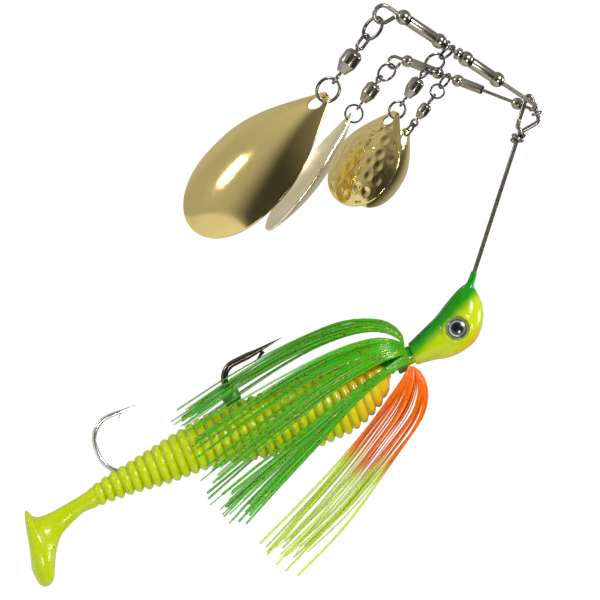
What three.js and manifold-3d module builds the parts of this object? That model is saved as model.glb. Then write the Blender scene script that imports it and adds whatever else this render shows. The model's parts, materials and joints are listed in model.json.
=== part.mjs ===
// Twin-arm spinnerbait: a wire frame with a closed line-tie eye, two bladed arms, a cast jig head, two hooks,
// a strand skirt and a ribbed paddle-tail trailer. Millimetres, +Z up, hanging from the line: the origin is the
// centre of the line-tie eye, the arms reach out along -X, and -Y is the side that the big blade faces.
import * as THREE from "three";
import { mergeVertices } from "three/addons/utils/BufferGeometryUtils.js";
import Module from "manifold-3d";

const wasm = await Module();
wasm.setup();

// ---- driving dimensions -----------------------------------------------------------------------------

const MAIN_WIRE_R = 0.54;
const UPPER_ARM_R = 0.54;
const LOWER_ARM_R = 0.42;
const PLAY = 0.07; // slack between two links that hang on each other
const CLEAR = 0.3; // gap between a cast or moulded piece and what it holds
const EYE_CENTRE = { x: 0.6, z: -1.6 }; // middle of the line-tie opening in the wire's own sketch

const JIG_PITCH = 58.3; // how far the hanging jig's nose points up from level, in degrees
const NECK = { x: 11.46, z: -65.53 }; // where the head's neck meets the skirt collar
const SHANK_R = 0.9;
const STINGER_R = 0.6;
const COLLAR_R = 3.4;

const ROUND = 10; // sides of a small turned piece

const rad = THREE.MathUtils.degToRad;
const vec = (x, y, z) => new THREE.Vector3(x, y, z);

// ---- finishes ---------------------------------------------------------------------------------------

const finish = (color, roughness, metalness) => new THREE.MeshStandardMaterial({ color, roughness, metalness });
const STEEL = finish("#8d8878", 0.25, 1);
const NICKEL = finish("#b9b4a2", 0.18, 1);
const BLACK_NICKEL = finish("#2b2724", 0.2, 1);
const GOLD = finish("#c9a24a", 0.16, 1);
const PALE_GOLD = finish("#d2c48e", 0.18, 1);
const HEAD_PAINT = finish("#8fc400", 0.15, 0);
const EYE_RESIN = finish("#15171a", 0.08, 0);
const STOPPER_RUBBER = finish("#2f8d22", 0.35, 0);
const COLLAR_RUBBER = finish("#2a3a20", 0.6, 0);
const TRAILER_PLASTIC = finish("#c3d40a", 0.3, 0);
const GREEN_SILICONE = finish("#4bb524", 0.4, 0);
const ORANGE_SILICONE = finish("#f26a1b", 0.4, 0);

// ---- geometry helpers -------------------------------------------------------------------------------

// A closed three.js geometry as a manifold-3d solid.
function solidOf(geometry) {
  const bare = geometry.clone();
  bare.deleteAttribute("normal");
  bare.deleteAttribute("uv");
  const merged = mergeVertices(bare, 1e-4);
  return new wasm.Manifold(
    new wasm.Mesh({
      numProp: 3,
      vertProperties: new Float32Array(merged.attributes.position.array),
      triVerts: new Uint32Array(merged.index.array),
    }),
  );
}

function geometryOf(solid) {
  const { vertProperties, triVerts } = solid.getMesh();
  return new THREE.BufferGeometry()
    .setAttribute("position", new THREE.BufferAttribute(vertProperties, 3))
    .setIndex(new THREE.BufferAttribute(triVerts, 1));
}

const join = (...geometries) => geometryOf(geometries.map(solidOf).reduce((a, b) => a.add(b)));

const cut = (geometry, ...tools) =>
  geometryOf(tools.map(solidOf).reduce((a, b) => a.subtract(b), solidOf(geometry)));

// A path that goes straight from point to point, with a sweep section at each point.
class PointPath extends THREE.Curve {
  constructor(points) {
    super();
    this.points = points;
  }

  getPoint(t, target = new THREE.Vector3()) {
    const along = t * (this.points.length - 1);
    const i = Math.min(Math.floor(along), this.points.length - 2);
    return target.lerpVectors(this.points[i], this.points[i + 1], along - i);
  }

  getUtoTmapping(u) {
    return u;
  }
}

// The section of a sweep: an ellipse whose first width lies across the path's plane.
function ellipseSection(across, along, sides) {
  const corners = [];
  for (let i = 0; i < sides; i++) {
    const a = ((i + 0.5) / sides) * 2 * Math.PI;
    corners.push(new THREE.Vector2(across * Math.cos(a), along * Math.sin(a)));
  }
  return new THREE.Shape(corners);
}

function sweep(points, section) {
  return new THREE.ExtrudeGeometry(section, {
    steps: points.length - 1,
    extrudePath: new PointPath(points),
    bevelEnabled: false,
  });
}

const rod = (points, radius, sides = 6) => sweep(points, ellipseSection(radius, radius, sides));

// Corner points [x, y, z, bend radius] as a wire's path, with each corner rounded into an arc.
function bent(corners, degreesPerStep = 24) {
  const at = (c) => vec(c[0], c[1], c[2]);
  const points = [at(corners[0])];
  for (let i = 1; i < corners.length - 1; i++) {
    const here = at(corners[i]);
    const back = at(corners[i - 1]).sub(here).normalize();
    const on = at(corners[i + 1]).sub(here).normalize();
    const opening = back.angleTo(on);
    const radius = corners[i][3] ?? 0;
    if (radius === 0) {
      points.push(here);
      continue;
    }
    const turn = Math.PI - opening;
    const steps = Math.max(1, Math.round(THREE.MathUtils.radToDeg(turn) / degreesPerStep));
    const centre = here.clone().add(back.clone().add(on).setLength(radius / Math.sin(opening / 2)));
    const start = here.clone().addScaledVector(back, radius / Math.tan(opening / 2)).sub(centre);
    const axis = new THREE.Vector3().crossVectors(on, back).normalize();
    for (let k = 0; k <= steps; k++) {
      points.push(start.clone().applyAxisAngle(axis, (turn * k) / steps).add(centre));
    }
  }
  points.push(at(corners.at(-1)));
  return points;
}

// Points of a circle or helix round centre: the angle runs from the u direction towards the v direction.
function coil({ centre, u, v, radius, from, to, advance = vec(0, 0, 0), stepDegrees = 30 }) {
  const steps = Math.ceil(Math.abs(to - from) / stepDegrees);
  return Array.from({ length: steps + 1 }, (_, i) => {
    const a = rad(from + ((to - from) * i) / steps);
    return centre
      .clone()
      .addScaledVector(u, radius * Math.cos(a))
      .addScaledVector(v, radius * Math.sin(a))
      .addScaledVector(advance, i / steps);
  });
}

// A lathe about +Z from [radius, z] pairs given from the top down.
const turned = (profile, segments) =>
  new THREE.LatheGeometry(
    profile.map(([r, z]) => new THREE.Vector2(r, z)).reverse(),
    segments,
  ).rotateX(Math.PI / 2);

const alongX = (geometry) => geometry.rotateY(Math.PI / 2);

// A body skinned over elliptical stations [x, centre z, half width, half height] in order of falling x.
function skinned(stations, segments) {
  const profile = [new THREE.Vector2(0, 0)];
  stations.forEach((_, i) => profile.push(new THREE.Vector2(1, i)));
  profile.push(new THREE.Vector2(0, stations.length - 1));
  const geometry = new THREE.LatheGeometry(profile, segments);
  const position = geometry.attributes.position;
  for (let i = 0; i < position.count; i++) {
    const [x, z, halfWidth, halfHeight] = stations[Math.round(position.getY(i))];
    position.setXYZ(i, x, position.getX(i) * halfWidth, z + position.getZ(i) * halfHeight);
  }
  return geometry;
}

function piece(name, geometry, material, parent) {
  const mesh = new THREE.Mesh(geometry, material);
  mesh.name = name;
  parent.add(mesh);
  return mesh;
}

function groupAt(parent, x, y, z) {
  const group = new THREE.Group();
  group.position.set(x, y, z);
  parent.add(group);
  return group;
}

const lure = new THREE.Group();
const sketch = groupAt(lure, -EYE_CENTRE.x, 0, -EYE_CENTRE.z);

// ---- main wire: shaft, line-tie eye and the wraps that close it -------------------------------------

const EYE_FOOT = vec(0.5, 0, -5.2);
const EYE_NOSE = vec(2.9, 0, 0.2);
const EYE_PEAK = vec(-3.9, 0, 5.0);
const SHAFT_END = vec(14.7, 0, -48.7);
const WRAP = { turns: 1.75, pitch: 1.16, radius: 1.16, start: 0.45 }; // start is below the foot
const LEAD = { radius: 1.3, start: 1.9 }; // the half turn before the wraps: start is above the foot

function mainWire() {
  const shaft = SHAFT_END.clone().sub(EYE_FOOT).normalize();
  const side = vec(-shaft.z, 0, shaft.x); // to the right of the shaft, looking along +Y
  const around = { u: side.clone().negate(), v: vec(0, -1, 0), stepDegrees: 45 };
  const lead = coil({
    ...around,
    centre: EYE_FOOT.clone().addScaledVector(shaft, -LEAD.start),
    radius: LEAD.radius,
    from: 0,
    to: 180,
    advance: shaft.clone().multiplyScalar(LEAD.start + WRAP.start),
  });
  const wraps = coil({
    ...around,
    centre: EYE_FOOT.clone().addScaledVector(shaft, WRAP.start),
    radius: WRAP.radius,
    from: 180,
    to: 180 + 360 * WRAP.turns,
    advance: shaft.clone().multiplyScalar(WRAP.turns * WRAP.pitch),
  });
  const corners = [
    [...SHAFT_END],
    [...EYE_FOOT, 1.5],
    [...EYE_NOSE, 1.5],
    [...EYE_PEAK, 0.7],
    [-1.4, 0, -2.6, 1.4],
    [...lead[1]],
  ];
  return rod([...bent(corners, 30), ...lead.slice(2, -1), ...wraps], MAIN_WIRE_R);
}

piece("main_wire", mainWire(), STEEL, sketch);

// ---- blade arms -------------------------------------------------------------------------------------

// Each arm is a wire that hooks round the eye's upper leg and ends in a loop, with spacers threaded on it.
const LEG = EYE_NOSE.clone().sub(EYE_PEAK).normalize();
const LEG_UP = vec(-LEG.z, 0, LEG.x);
const UPPER = {
  name: "upper",
  side: -1, // towards -Y
  wireR: UPPER_ARM_R,
  yaw: 20,
  pitch: 2.6,
  hookAt: 4.87, // from the eye's peak along its upper leg
  sweep: 155, // how far the wire hooks round the leg, in degrees
  rise: 0.75, // off the leg, before the wire bends outward
  bendR: 0.65,
  loopR: 2.2,
  loopAt: 48,
  tipAt: 44.95, // where the loop's end comes back to the wire
  beadR: 1.95,
  tubeR: 1.45,
};
const LOWER = {
  name: "lower",
  side: 1,
  wireR: LOWER_ARM_R,
  yaw: 22,
  pitch: 13.45,
  hookAt: 6.28,
  sweep: 250,
  rise: 0.8,
  bendR: 0.52,
  loopR: 1.5,
  loopAt: 41.4,
  tipAt: 39.8,
  beadR: 1.55,
  tubeR: 1.18,
};

// The arm's own frame: origin where its straight part starts, +X outward along the wire, XZ the loop's plane.
function armFrame(arm) {
  const hook = EYE_PEAK.clone().addScaledVector(LEG, arm.hookAt);
  const reach = MAIN_WIRE_R + arm.wireR + 0.1;
  const start = hook.clone().addScaledVector(LEG_UP, arm.rise);
  start.y = arm.side * reach;
  const frame = groupAt(sketch, start.x, start.y, start.z);
  frame.rotation.set(0, rad(arm.pitch), rad(180 - arm.side * arm.yaw), "ZYX");
  frame.updateMatrixWorld(true);
  return { ...arm, frame, hook, reach };
}

// The closed loop at an arm's end: round, then straight back to the wire.
function endLoop({ loopAt, loopR, tipAt, wireR }) {
  const centre = vec(loopAt, 0, -loopR);
  const tip = vec(tipAt, 0, -2 * wireR - 0.1);
  const towardsTip = Math.atan2(tip.x - centre.x, tip.z - centre.z);
  const leave = 360 + THREE.MathUtils.radToDeg(towardsTip - Math.acos(loopR / tip.distanceTo(centre)));
  const axes = { u: vec(0, 0, 1), v: vec(1, 0, 0), stepDegrees: 20 };
  return [...coil({ ...axes, centre, radius: loopR, from: 0, to: leave }), tip];
}

const HOOK_LEAVES = 120; // where the wire leaves the leg, in degrees from the side away from the eye

function armWire(arm) {
  const hookArc = coil({
    centre: arm.hook,
    u: LEG_UP,
    v: vec(0, arm.side, 0),
    radius: arm.reach,
    from: 90 + arm.sweep,
    to: HOOK_LEAVES,
  }).map((p) => arm.frame.worldToLocal(sketch.localToWorld(p)));
  const turn = bent([[...hookArc.at(-1)], [0, 0, 0, arm.bendR], [arm.loopAt, 0, 0]], 30).slice(1, -1);
  return rod([...hookArc, ...turn, ...endLoop(arm)], arm.wireR);
}

function bead(radius, boreR) {
  const mouth = Math.sqrt(radius ** 2 - boreR ** 2);
  const profile = [[boreR, mouth]];
  const rows = 5;
  for (let i = 1; i < rows; i++) {
    const a = Math.acos(boreR / radius) * (1 - (2 * i) / rows);
    profile.push([radius * Math.cos(a), radius * Math.sin(a)]);
  }
  profile.push([boreR, -mouth], [boreR, mouth]);
  return alongX(turned(profile, ROUND));
}

function sleeve(radius, boreR, length) {
  const half = length / 2;
  return alongX(
    turned(
      [
        [boreR, half],
        [radius, half],
        [radius, -half],
        [boreR, -half],
        [boreR, half],
      ],
      ROUND,
    ),
  );
}

const BORE_GAP = 0.14;
const TUBE_WALL = 0.28;

// Threads the arm's pieces onto it: each entry is [name, kind, centre along the wire, length or radius].
function thread(arm, entries) {
  const boreR = arm.wireR + BORE_GAP;
  for (const [name, kind, at, size] of entries) {
    const geometry = {
      bead: () => bead(size ?? arm.beadR, boreR),
      tube: () => sleeve(arm.tubeR, arm.tubeR - TUBE_WALL, size),
      washer: () => sleeve(arm.beadR * 0.8, boreR, size),
    }[kind]();
    piece(`${arm.name}_${name}`, geometry, NICKEL, groupAt(arm.frame, at, 0, 0));
  }
}

const upper = armFrame(UPPER);
piece("upper_arm_wire", armWire(upper), STEEL, upper.frame);
thread(upper, [
  ["end_bead", "bead", 13.2],
  ["inner_tube", "tube", 18.15, 6.6],
  ["inner_bead", "bead", 23.1],
  ["inner_washer", "washer", 25.6, 0.8],
  ["outer_washer", "washer", 29.4, 0.55],
  ["mid_bead", "bead", 31.65],
  ["outer_tube", "tube", 37.3, 8],
  ["outer_bead", "bead", 42.95],
]);

const lower = armFrame(LOWER);
piece("lower_arm_wire", armWire(lower), STEEL, lower.frame);
thread(lower, [
  ["end_bead", "bead", 6.53],
  ["inner_tube", "tube", 19.45, 5.6],
  ["inner_bead", "bead", 23.6],
  ["mid_bead", "bead", 29.4],
  ["outer_tube", "tube", 33.77, 6.05],
  ["outer_bead", "bead", 38.14],
]);

// ---- blade chains: rings, swivel and blade, each link in a group whose origin is the wire it hangs on

// A link's facing is the turn of its plane's normal from -Y towards +X, seen from above, in degrees.
const faceOn = (geometry, facing) => geometry.rotateZ(rad(facing));

// A ring that hangs on its pivot and leans outward; its group is the pivot that the next link hangs on.
function ringLink(parent, name, { R, r, facing, lean = 0 }, heldR) {
  const top = heldR + r + PLAY;
  const torus = new THREE.TorusGeometry(R, r, 5, 16).rotateX(Math.PI / 2);
  const hung = faceOn(torus, facing).translate(0, 0, top - R);
  piece(name, hung.rotateY(rad(lean)), STEEL, parent);
  const foot = vec(0, 0, top - 2 * R).applyAxisAngle(vec(0, 1, 0), rad(lean));
  return groupAt(parent, foot.x, 0, foot.z);
}

// An oval wire eye whose top is at z = 0: a ring that is cut across and drawn apart into straight sides.
function wireEye({ wireR, halfWidth, halfHeight, facing }) {
  const segments = 12;
  const ring = new THREE.TorusGeometry(halfWidth, wireR, 5, segments);
  ring.rotateZ(Math.PI / segments).rotateX(Math.PI / 2);
  const position = ring.attributes.position;
  const stretch = halfHeight - halfWidth;
  for (let i = 0; i < position.count; i++) {
    position.setZ(i, position.getZ(i) + Math.sign(position.getZ(i)) * stretch - halfHeight);
  }
  return faceOn(ring, facing);
}

function swivel(parent, prefix, s, heldR) {
  const eyeTop = heldR + s.wireR + PLAY;
  const stemR = s.wireR * 0.9;
  const barrelTop = eyeTop - 2 * s.topHalf - 0.75;
  const barrelFoot = barrelTop - s.length;
  const footTop = barrelFoot - 0.45 - s.wireR * 0.5;
  const footDrop = footTop - 2 * s.footHalf;
  const halfWidth = s.wireR + s.eyeRoom;
  const headR = s.barrelR * 0.55;
  const cavityR = s.barrelR - 0.42;
  const shoulder = barrelTop - 0.16 * s.length;
  const waist = barrelTop - 0.6 * s.length;

  const topEye = wireEye({ wireR: s.wireR, halfWidth, halfHeight: s.topHalf, facing: s.topFacing });
  topEye.translate(0, 0, eyeTop);
  const topStem = turned(
    [
      [0, eyeTop - 2 * s.topHalf + 0.1],
      [stemR, eyeTop - 2 * s.topHalf + 0.1],
      [stemR, shoulder - 0.42],
      [headR, shoulder - 0.47],
      [headR, shoulder - 0.97],
      [0, shoulder - 0.97],
    ],
    8,
  );
  piece(`${prefix}_swivel_eye`, join(topEye, topStem), STEEL, parent);

  const neckR = stemR + 0.12;
  const barrel = turned(
    [
      [neckR, barrelTop],
      [s.barrelR * 0.62, barrelTop],
      [s.barrelR, shoulder],
      [s.barrelR, waist],
      [s.barrelR * 0.5, barrelFoot],
      [neckR, barrelFoot],
      [neckR, barrelFoot + 0.75],
      [cavityR, waist],
      [cavityR, shoulder - 0.3],
      [neckR, shoulder - 0.3],
      [neckR, barrelTop],
    ],
    ROUND,
  );
  piece(`${prefix}_swivel_barrel`, barrel, NICKEL, parent);

  // The foot eye spins in the barrel on a stem with a captive head.
  const foot = groupAt(parent, 0, 0, barrelFoot);
  const footEye = wireEye({ wireR: s.wireR, halfWidth, halfHeight: s.footHalf, facing: s.footFacing });
  footEye.translate(0, 0, footTop - barrelFoot);
  const headTop = waist - barrelFoot + 0.3;
  const footStem = turned(
    [
      [0, headTop],
      [headR, headTop],
      [headR, headTop - 0.45],
      [stemR, headTop - 0.5],
      [stemR, footTop - barrelFoot - 0.1],
      [0, footTop - barrelFoot - 0.1],
    ],
    8,
  );
  piece(`${prefix}_swivel_foot`, join(footEye, footStem), STEEL, foot);
  return { foot, hang: groupAt(foot, 0, 0, footDrop - barrelFoot) };
}

// Half width of a teardrop blade at t of its length, as a share of its greatest half width.
function teardrop(t, fullness) {
  const rise = Math.sin((Math.PI / 2) * Math.min(1, (t + 0.045) / fullness)) ** 1.15;
  const fall = t > fullness ? Math.sqrt(Math.max(0, 1 - ((t - fullness) / (1 - fullness)) ** 2.2)) : 1;
  return rise * fall;
}

const HOLE_STRETCH = 1.2; // a blade's hole is this much taller than it is wide

// A dished sheet-metal blade that hangs by its hole: the hole's upper rim is at z = 0 and the dome faces -Y.
function bladeSheet(b) {
  const rows = 10;
  const columns = 6;
  const holeHalf = b.holeR * HOLE_STRETCH;
  const dishAt = (t) => b.dish * Math.sin(Math.PI * THREE.MathUtils.clamp(1.02 * t - 0.02, 0, 1)) ** 0.8;
  const seat = dishAt(b.margin / b.length); // brings the hole's rim over the ring it hangs on
  const corners = [];
  const faces = [];
  for (let i = 0; i <= rows; i++) {
    const t = (i / rows) ** 1.1;
    const half = Math.max(0.16, teardrop(Math.min(t, 0.9955), b.fullness)) * (b.width / 2);
    for (let j = 0; j <= columns; j++) {
      const s = (2 * j) / columns - 1;
      const y = seat - dishAt(t) * (1 - s * s);
      const z = b.margin - t * b.length;
      corners.push([s * half, y - b.gauge / 2, z], [s * half, y + b.gauge / 2, z]);
    }
  }
  const id = (i, j, back) => 2 * (i * (columns + 1) + j) + back;
  const quad = (a, c, d, e) => faces.push(a, c, d, a, d, e);
  for (let i = 0; i < rows; i++) {
    for (let j = 0; j < columns; j++) {
      quad(id(i, j, 0), id(i + 1, j, 0), id(i + 1, j + 1, 0), id(i, j + 1, 0));
      quad(id(i, j, 1), id(i, j + 1, 1), id(i + 1, j + 1, 1), id(i + 1, j, 1));
    }
    quad(id(i, 0, 1), id(i + 1, 0, 1), id(i + 1, 0, 0), id(i, 0, 0));
    quad(id(i, columns, 0), id(i + 1, columns, 0), id(i + 1, columns, 1), id(i, columns, 1));
  }
  for (let j = 0; j < columns; j++) {
    quad(id(0, j, 0), id(0, j + 1, 0), id(0, j + 1, 1), id(0, j, 1));
    quad(id(rows, j, 1), id(rows, j + 1, 1), id(rows, j + 1, 0), id(rows, j, 0));
  }
  const sheet = new THREE.BufferGeometry()
    .setAttribute("position", new THREE.Float32BufferAttribute(corners.flat(), 3))
    .setIndex(faces);
  const punch = new THREE.CylinderGeometry(b.holeR, b.holeR, 12, 12).scale(1, 1, HOLE_STRETCH);
  return cut(sheet, punch.translate(0, 0, -holeHalf));
}

function blade(parent, name, b, heldR, material) {
  const sheet = bladeSheet(b)
    .translate(0, 0, heldR + 2 * PLAY)
    .rotateY(rad(b.lean));
  piece(name, faceOn(sheet, b.facing), material, parent);
}

// Hangs one chain of rings, swivel and blade from an arm. Each link's group is the pivot that it swings on.
function chain(arm, along, c) {
  const hangAt = sketch.worldToLocal(arm.frame.localToWorld(vec(along, 0, c.below)));
  let link = groupAt(sketch, hangAt.x, hangAt.y, hangAt.z);
  let held = arm.wireR;
  for (const ring of c.rings) {
    link = ringLink(link, `${c.name}_${ring.name}`, ring, held);
    held = ring.r;
  }
  const { hang } = swivel(link, c.name, c.swivel, held);
  const bladeHang = ringLink(hang, `${c.name}_blade_ring`, c.bladeRing, c.swivel.wireR);
  blade(bladeHang, `${c.name}_blade`, c.blade, c.bladeRing.r, c.finish);
}

chain(upper, UPPER.loopAt, {
  name: "big",
  below: -2 * UPPER.loopR,
  rings: [{ name: "top_ring", R: 3.1, r: 0.43, facing: -53 }],
  swivel: {
    wireR: 0.42,
    barrelR: 2.35,
    length: 6.6,
    topHalf: 2.05,
    footHalf: 1.25,
    eyeRoom: 0.62,
    topFacing: 37,
    footFacing: 96,
  },
  bladeRing: { R: 3.1, r: 0.42, facing: 30 },
  blade: {
    length: 47.8,
    width: 25.5,
    dish: 4.6,
    gauge: 0.7,
    holeR: 1.7,
    margin: 1.6,
    fullness: 0.62,
    facing: -34,
    lean: 11.7,
  },
  finish: GOLD,
});

chain(lower, LOWER.loopAt, {
  name: "pale",
  below: -2 * LOWER.loopR,
  rings: [{ name: "top_ring", R: 2.4, r: 0.31, facing: 42, lean: 12 }],
  swivel: {
    wireR: 0.32,
    barrelR: 1.85,
    length: 5.6,
    topHalf: 0.8,
    footHalf: 0.8,
    eyeRoom: 0.48,
    topFacing: -42,
    footFacing: 90,
  },
  bladeRing: { R: 2.2, r: 0.32, facing: 0 },
  blade: {
    length: 36.2,
    width: 19,
    dish: 3.4,
    gauge: 0.6,
    holeR: 1.3,
    margin: 1.5,
    fullness: 0.62,
    facing: 104,
    lean: -1,
  },
  finish: PALE_GOLD,
});

chain(upper, 27.8, {
  name: "hammered",
  below: 0,
  rings: [
    { name: "wire_ring", R: 2.25, r: 0.36, facing: -70, lean: 14 },
    { name: "link_ring", R: 2.65, r: 0.36, facing: 42, lean: 14 },
  ],
  swivel: {
    wireR: 0.36,
    barrelR: 1.83,
    length: 5.6,
    topHalf: 1.4,
    footHalf: 1.0,
    eyeRoom: 0.52,
    topFacing: -44,
    footFacing: 90,
  },
  bladeRing: { R: 2.2, r: 0.34, facing: 30 },
  blade: {
    length: 26.7,
    width: 18.6,
    dish: 3.2,
    gauge: 0.6,
    holeR: 1.3,
    margin: 1.3,
    fullness: 0.6,
    facing: -36,
    lean: -6,
  },
  finish: GOLD,
});

chain(lower, 26.5, {
  name: "back",
  below: 0,
  rings: [
    { name: "wire_ring", R: 2.1, r: 0.3, facing: 68 },
    { name: "link_ring", R: 1.75, r: 0.3, facing: -14 },
  ],
  swivel: {
    wireR: 0.3,
    barrelR: 1.45,
    length: 4.3,
    topHalf: 1.1,
    footHalf: 0.9,
    eyeRoom: 0.46,
    topFacing: 78,
    footFacing: 14,
  },
  bladeRing: { R: 1.8, r: 0.3, facing: 108 },
  blade: {
    length: 22.6,
    width: 16.4,
    dish: 2.9,
    gauge: 0.55,
    holeR: 1.3,
    margin: 1.2,
    fullness: 0.6,
    facing: 44,
    lean: -5,
  },
  finish: GOLD,
});

// ---- jig: head, hooks, trailer and skirt, drawn with the shank along X and the hook points up -------

const jig = groupAt(sketch, NECK.x, 0, NECK.z);
jig.rotation.y = -rad(JIG_PITCH);
jig.updateMatrixWorld(true);

// The lower bend's centre and radius, and how far short of its upright end the stinger's eye sits (degrees).
const BEND = { x: -39.7, z: 6.5, r: 6.5, slant: 24 };
const HOOK_PATH = bent([
  [9, 0, 0],
  [BEND.x - BEND.r, 0, 0, BEND.r],
  [BEND.x - BEND.r, 0, 14.7, 4.2],
  [-34.5, 0, 15.5],
]);
const HOOK_TIP = vec(-28.6, 0, 16.3);
const STINGER_EYE = vec(
  BEND.x - BEND.r * Math.cos(rad(BEND.slant)),
  0,
  BEND.z - BEND.r * Math.sin(rad(BEND.slant)),
);
const STINGER_EYE_R = SHANK_R + STINGER_R + 0.2;
const STINGER_FOOT = STINGER_EYE.clone().add(
  vec(-Math.cos(rad(BEND.slant)), 0, -Math.sin(rad(BEND.slant))).multiplyScalar(STINGER_EYE_R),
);
const STINGER_PATH = bent([
  [...STINGER_FOOT],
  [-82.4, 0, -1.2, 6.8],
  [-82.2, 0, 14.6, 6.2],
  [-72.6, 0, 14.4],
]);
const STINGER_TIP = vec(-67.8, 0, 14.6);

// A tapered spike from a hook's wire to its tip.
function spike(from, tip, radius, sides = 6) {
  const length = from.distanceTo(tip);
  const cone = new THREE.CylinderGeometry(0.06, radius, length, sides).translate(0, length / 2, 0);
  const along = tip.clone().sub(from).normalize();
  cone.applyQuaternion(new THREE.Quaternion().setFromUnitVectors(vec(0, 1, 0), along));
  return cone.translate(from.x, from.y, from.z);
}

function mainHook() {
  const wire = rod(HOOK_PATH, SHANK_R);
  const end = HOOK_PATH.at(-1);
  const point = spike(vec(end.x - 0.4, 0, end.z - 0.03), HOOK_TIP, SHANK_R * 0.98);
  const barb = spike(vec(-34.2, 0, 15.0), vec(-37.3, 0, 13.1), 0.5, 5);
  return join(wire, point, barb);
}

function stingerHook() {
  const eye = new THREE.TorusGeometry(STINGER_EYE_R, STINGER_R, 5, 12).rotateY(-rad(BEND.slant));
  eye.translate(STINGER_EYE.x, 0, STINGER_EYE.z);
  const end = STINGER_PATH.at(-1);
  const point = spike(vec(end.x - 0.4, 0, end.z), STINGER_TIP, STINGER_R * 0.98);
  const barb = spike(vec(-72.6, 0, 14.0), vec(-74.9, 0, 12.6), 0.34, 5);
  return join(eye, rod(STINGER_PATH, STINGER_R), point, barb);
}

piece("main_hook", mainHook(), BLACK_NICKEL, jig);
piece("stinger_hook", stingerHook(), NICKEL, jig);

// The stopper is a rubber bead pushed down the hook onto the stinger's eye.
const stopper = turned(
  [
    [SHANK_R + 0.25, 2.2],
    [1.7, 2.2],
    [2.3, 1.3],
    [2.3, -1.3],
    [1.7, -2.2],
    [SHANK_R + 0.25, -2.2],
    [SHANK_R + 0.25, 2.2],
  ],
  12,
);
piece("hook_stopper", stopper.translate(-46.1, 0, 7.35), STOPPER_RUBBER, jig);

// Head stations run from the nose back over the neck, the collar seat and the keeper that grips the trailer.
const HEAD_STATIONS = [
  [20.95, 8.0, 0.25, 0.9],
  [20.6, 7.2, 1.3, 3.0],
  [19.8, 6.4, 2.3, 4.5],
  [18.3, 5.3, 3.3, 5.8],
  [16.0, 3.85, 4.2, 6.5],
  [12.3, 2.2, 4.9, 6.2],
  [8.6, 1.15, 4.5, 5.3],
  [4.2, 0.6, 3.6, 4.0],
  [1.4, 0.1, 3.0, 3.1],
  [0, 0, 2.9, 2.9],
  [-0.05, 0, 2.3, 2.3],
  [-5.4, 0, 2.3, 2.3],
  [-6.3, 0, 2.75, 2.75],
  [-9.4, 0, 1.9, 1.9],
];
const EYE_AT = { x: 12.6, z: 1.7, r: 2.9, back: 4.05 };

// The casting is bored for the main wire and the hook's shank, and each side has a round pocket for an eye.
function jigHead() {
  const wireEnd = sketchToJig(SHAFT_END);
  const outward = sketchToJig(EYE_FOOT).sub(wireEnd).normalize();
  const onWire = (distance) => wireEnd.clone().addScaledVector(outward, distance);
  const casting = skinned(HEAD_STATIONS, 16);
  const wireCollar = rod([onWire(3), onWire(9.3)], 1.25, 8);
  const wireBore = rod([onWire(-CLEAR), onWire(14)], MAIN_WIRE_R + CLEAR, 8);
  const shankBore = rod([vec(9 + CLEAR, 0, 0), vec(-12, 0, 0)], SHANK_R + CLEAR, 8);
  const pockets = [-1, 1].map((side) => {
    const pocket = new THREE.CylinderGeometry(EYE_AT.r + 0.2, EYE_AT.r + 0.2, 4, 18);
    return pocket.translate(EYE_AT.x, side * (EYE_AT.back - CLEAR + 2), EYE_AT.z);
  });
  return cut(join(casting, wireCollar), wireBore, shankBore, ...pockets);
}

function sketchToJig(point) {
  return jig.worldToLocal(sketch.localToWorld(point.clone()));
}

piece("jig_head", jigHead(), HEAD_PAINT, jig);

const eyeProfile = [
  [0, 1.45],
  [1.4, 1.2],
  [2.4, 0.65],
  [EYE_AT.r, 0],
  [EYE_AT.r, -0.1],
  [0, -0.1],
];
for (const [name, side] of [
  ["near_eye", -1],
  ["far_eye", 1],
]) {
  const dome = turned(eyeProfile, 18).rotateX((-side * Math.PI) / 2);
  piece(name, dome.translate(EYE_AT.x, side * EYE_AT.back, EYE_AT.z), EYE_RESIN, jig);
}

// Trailer: a smooth stand-in for the ribbed body, bored for the hooks and the head's keeper.
const TRAILER_STATIONS = [
  [-6.7, -0.6, 3.5, 4.0],
  [-9, -1.3, 4.9, 5.5],
  [-14, -2.4, 6.4, 7.1],
  [-22, -3.2, 7.3, 8.1],
  [-33, -3.5, 7.6, 8.5],
  [-43, -2.5, 7.1, 8.0],
  [-55, -1.1, 5.9, 6.6],
  [-65, -1.3, 4.9, 5.5],
  [-75, -1.8, 3.9, 4.3],
  [-82, -2.3, 3.2, 3.5],
  [-87.4, -2.9, 2.6, 2.8],
];
const TAIL_PIVOT = vec(-90, 0, -3.1);
const TAIL_STATIONS = [
  [-87.75, -3.1, 0.5, 0.5],
  [-88.2, -3.1, 1.5, 1.6],
  [-89.2, -3.1, 2.1, 2.3],
  [-91, -3.2, 2.1, 2.4],
  [-94.5, -3.9, 1.9, 2.5],
  [-98, -5.0, 2.1, 3.1],
  [-101, -6.7, 3.0, 4.6],
  [-103.4, -8.6, 4.3, 6.9],
  [-105, -9.4, 5.0, 9.0],
  [-106.4, -12.2, 4.6, 7.0],
  [-107.8, -15.0, 3.6, 4.0],
];

function trailerBody() {
  const keeperBore = [
    [0, -6],
    [3.1, -6],
    [2.4, -10.2],
    [0, -10.2],
  ];
  const eyePocket = new THREE.CylinderGeometry(3, 3, 8, 12).rotateX(Math.PI / 2);
  return cut(
    skinned(TRAILER_STATIONS, 16),
    alongX(turned(keeperBore, ROUND)),
    rod([vec(-5, 0, 0), ...HOOK_PATH.slice(1)], SHANK_R + CLEAR),
    rod(STINGER_PATH, STINGER_R + CLEAR),
    eyePocket.translate(STINGER_EYE.x - 0.3, 0, 5.3),
  );
}

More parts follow.
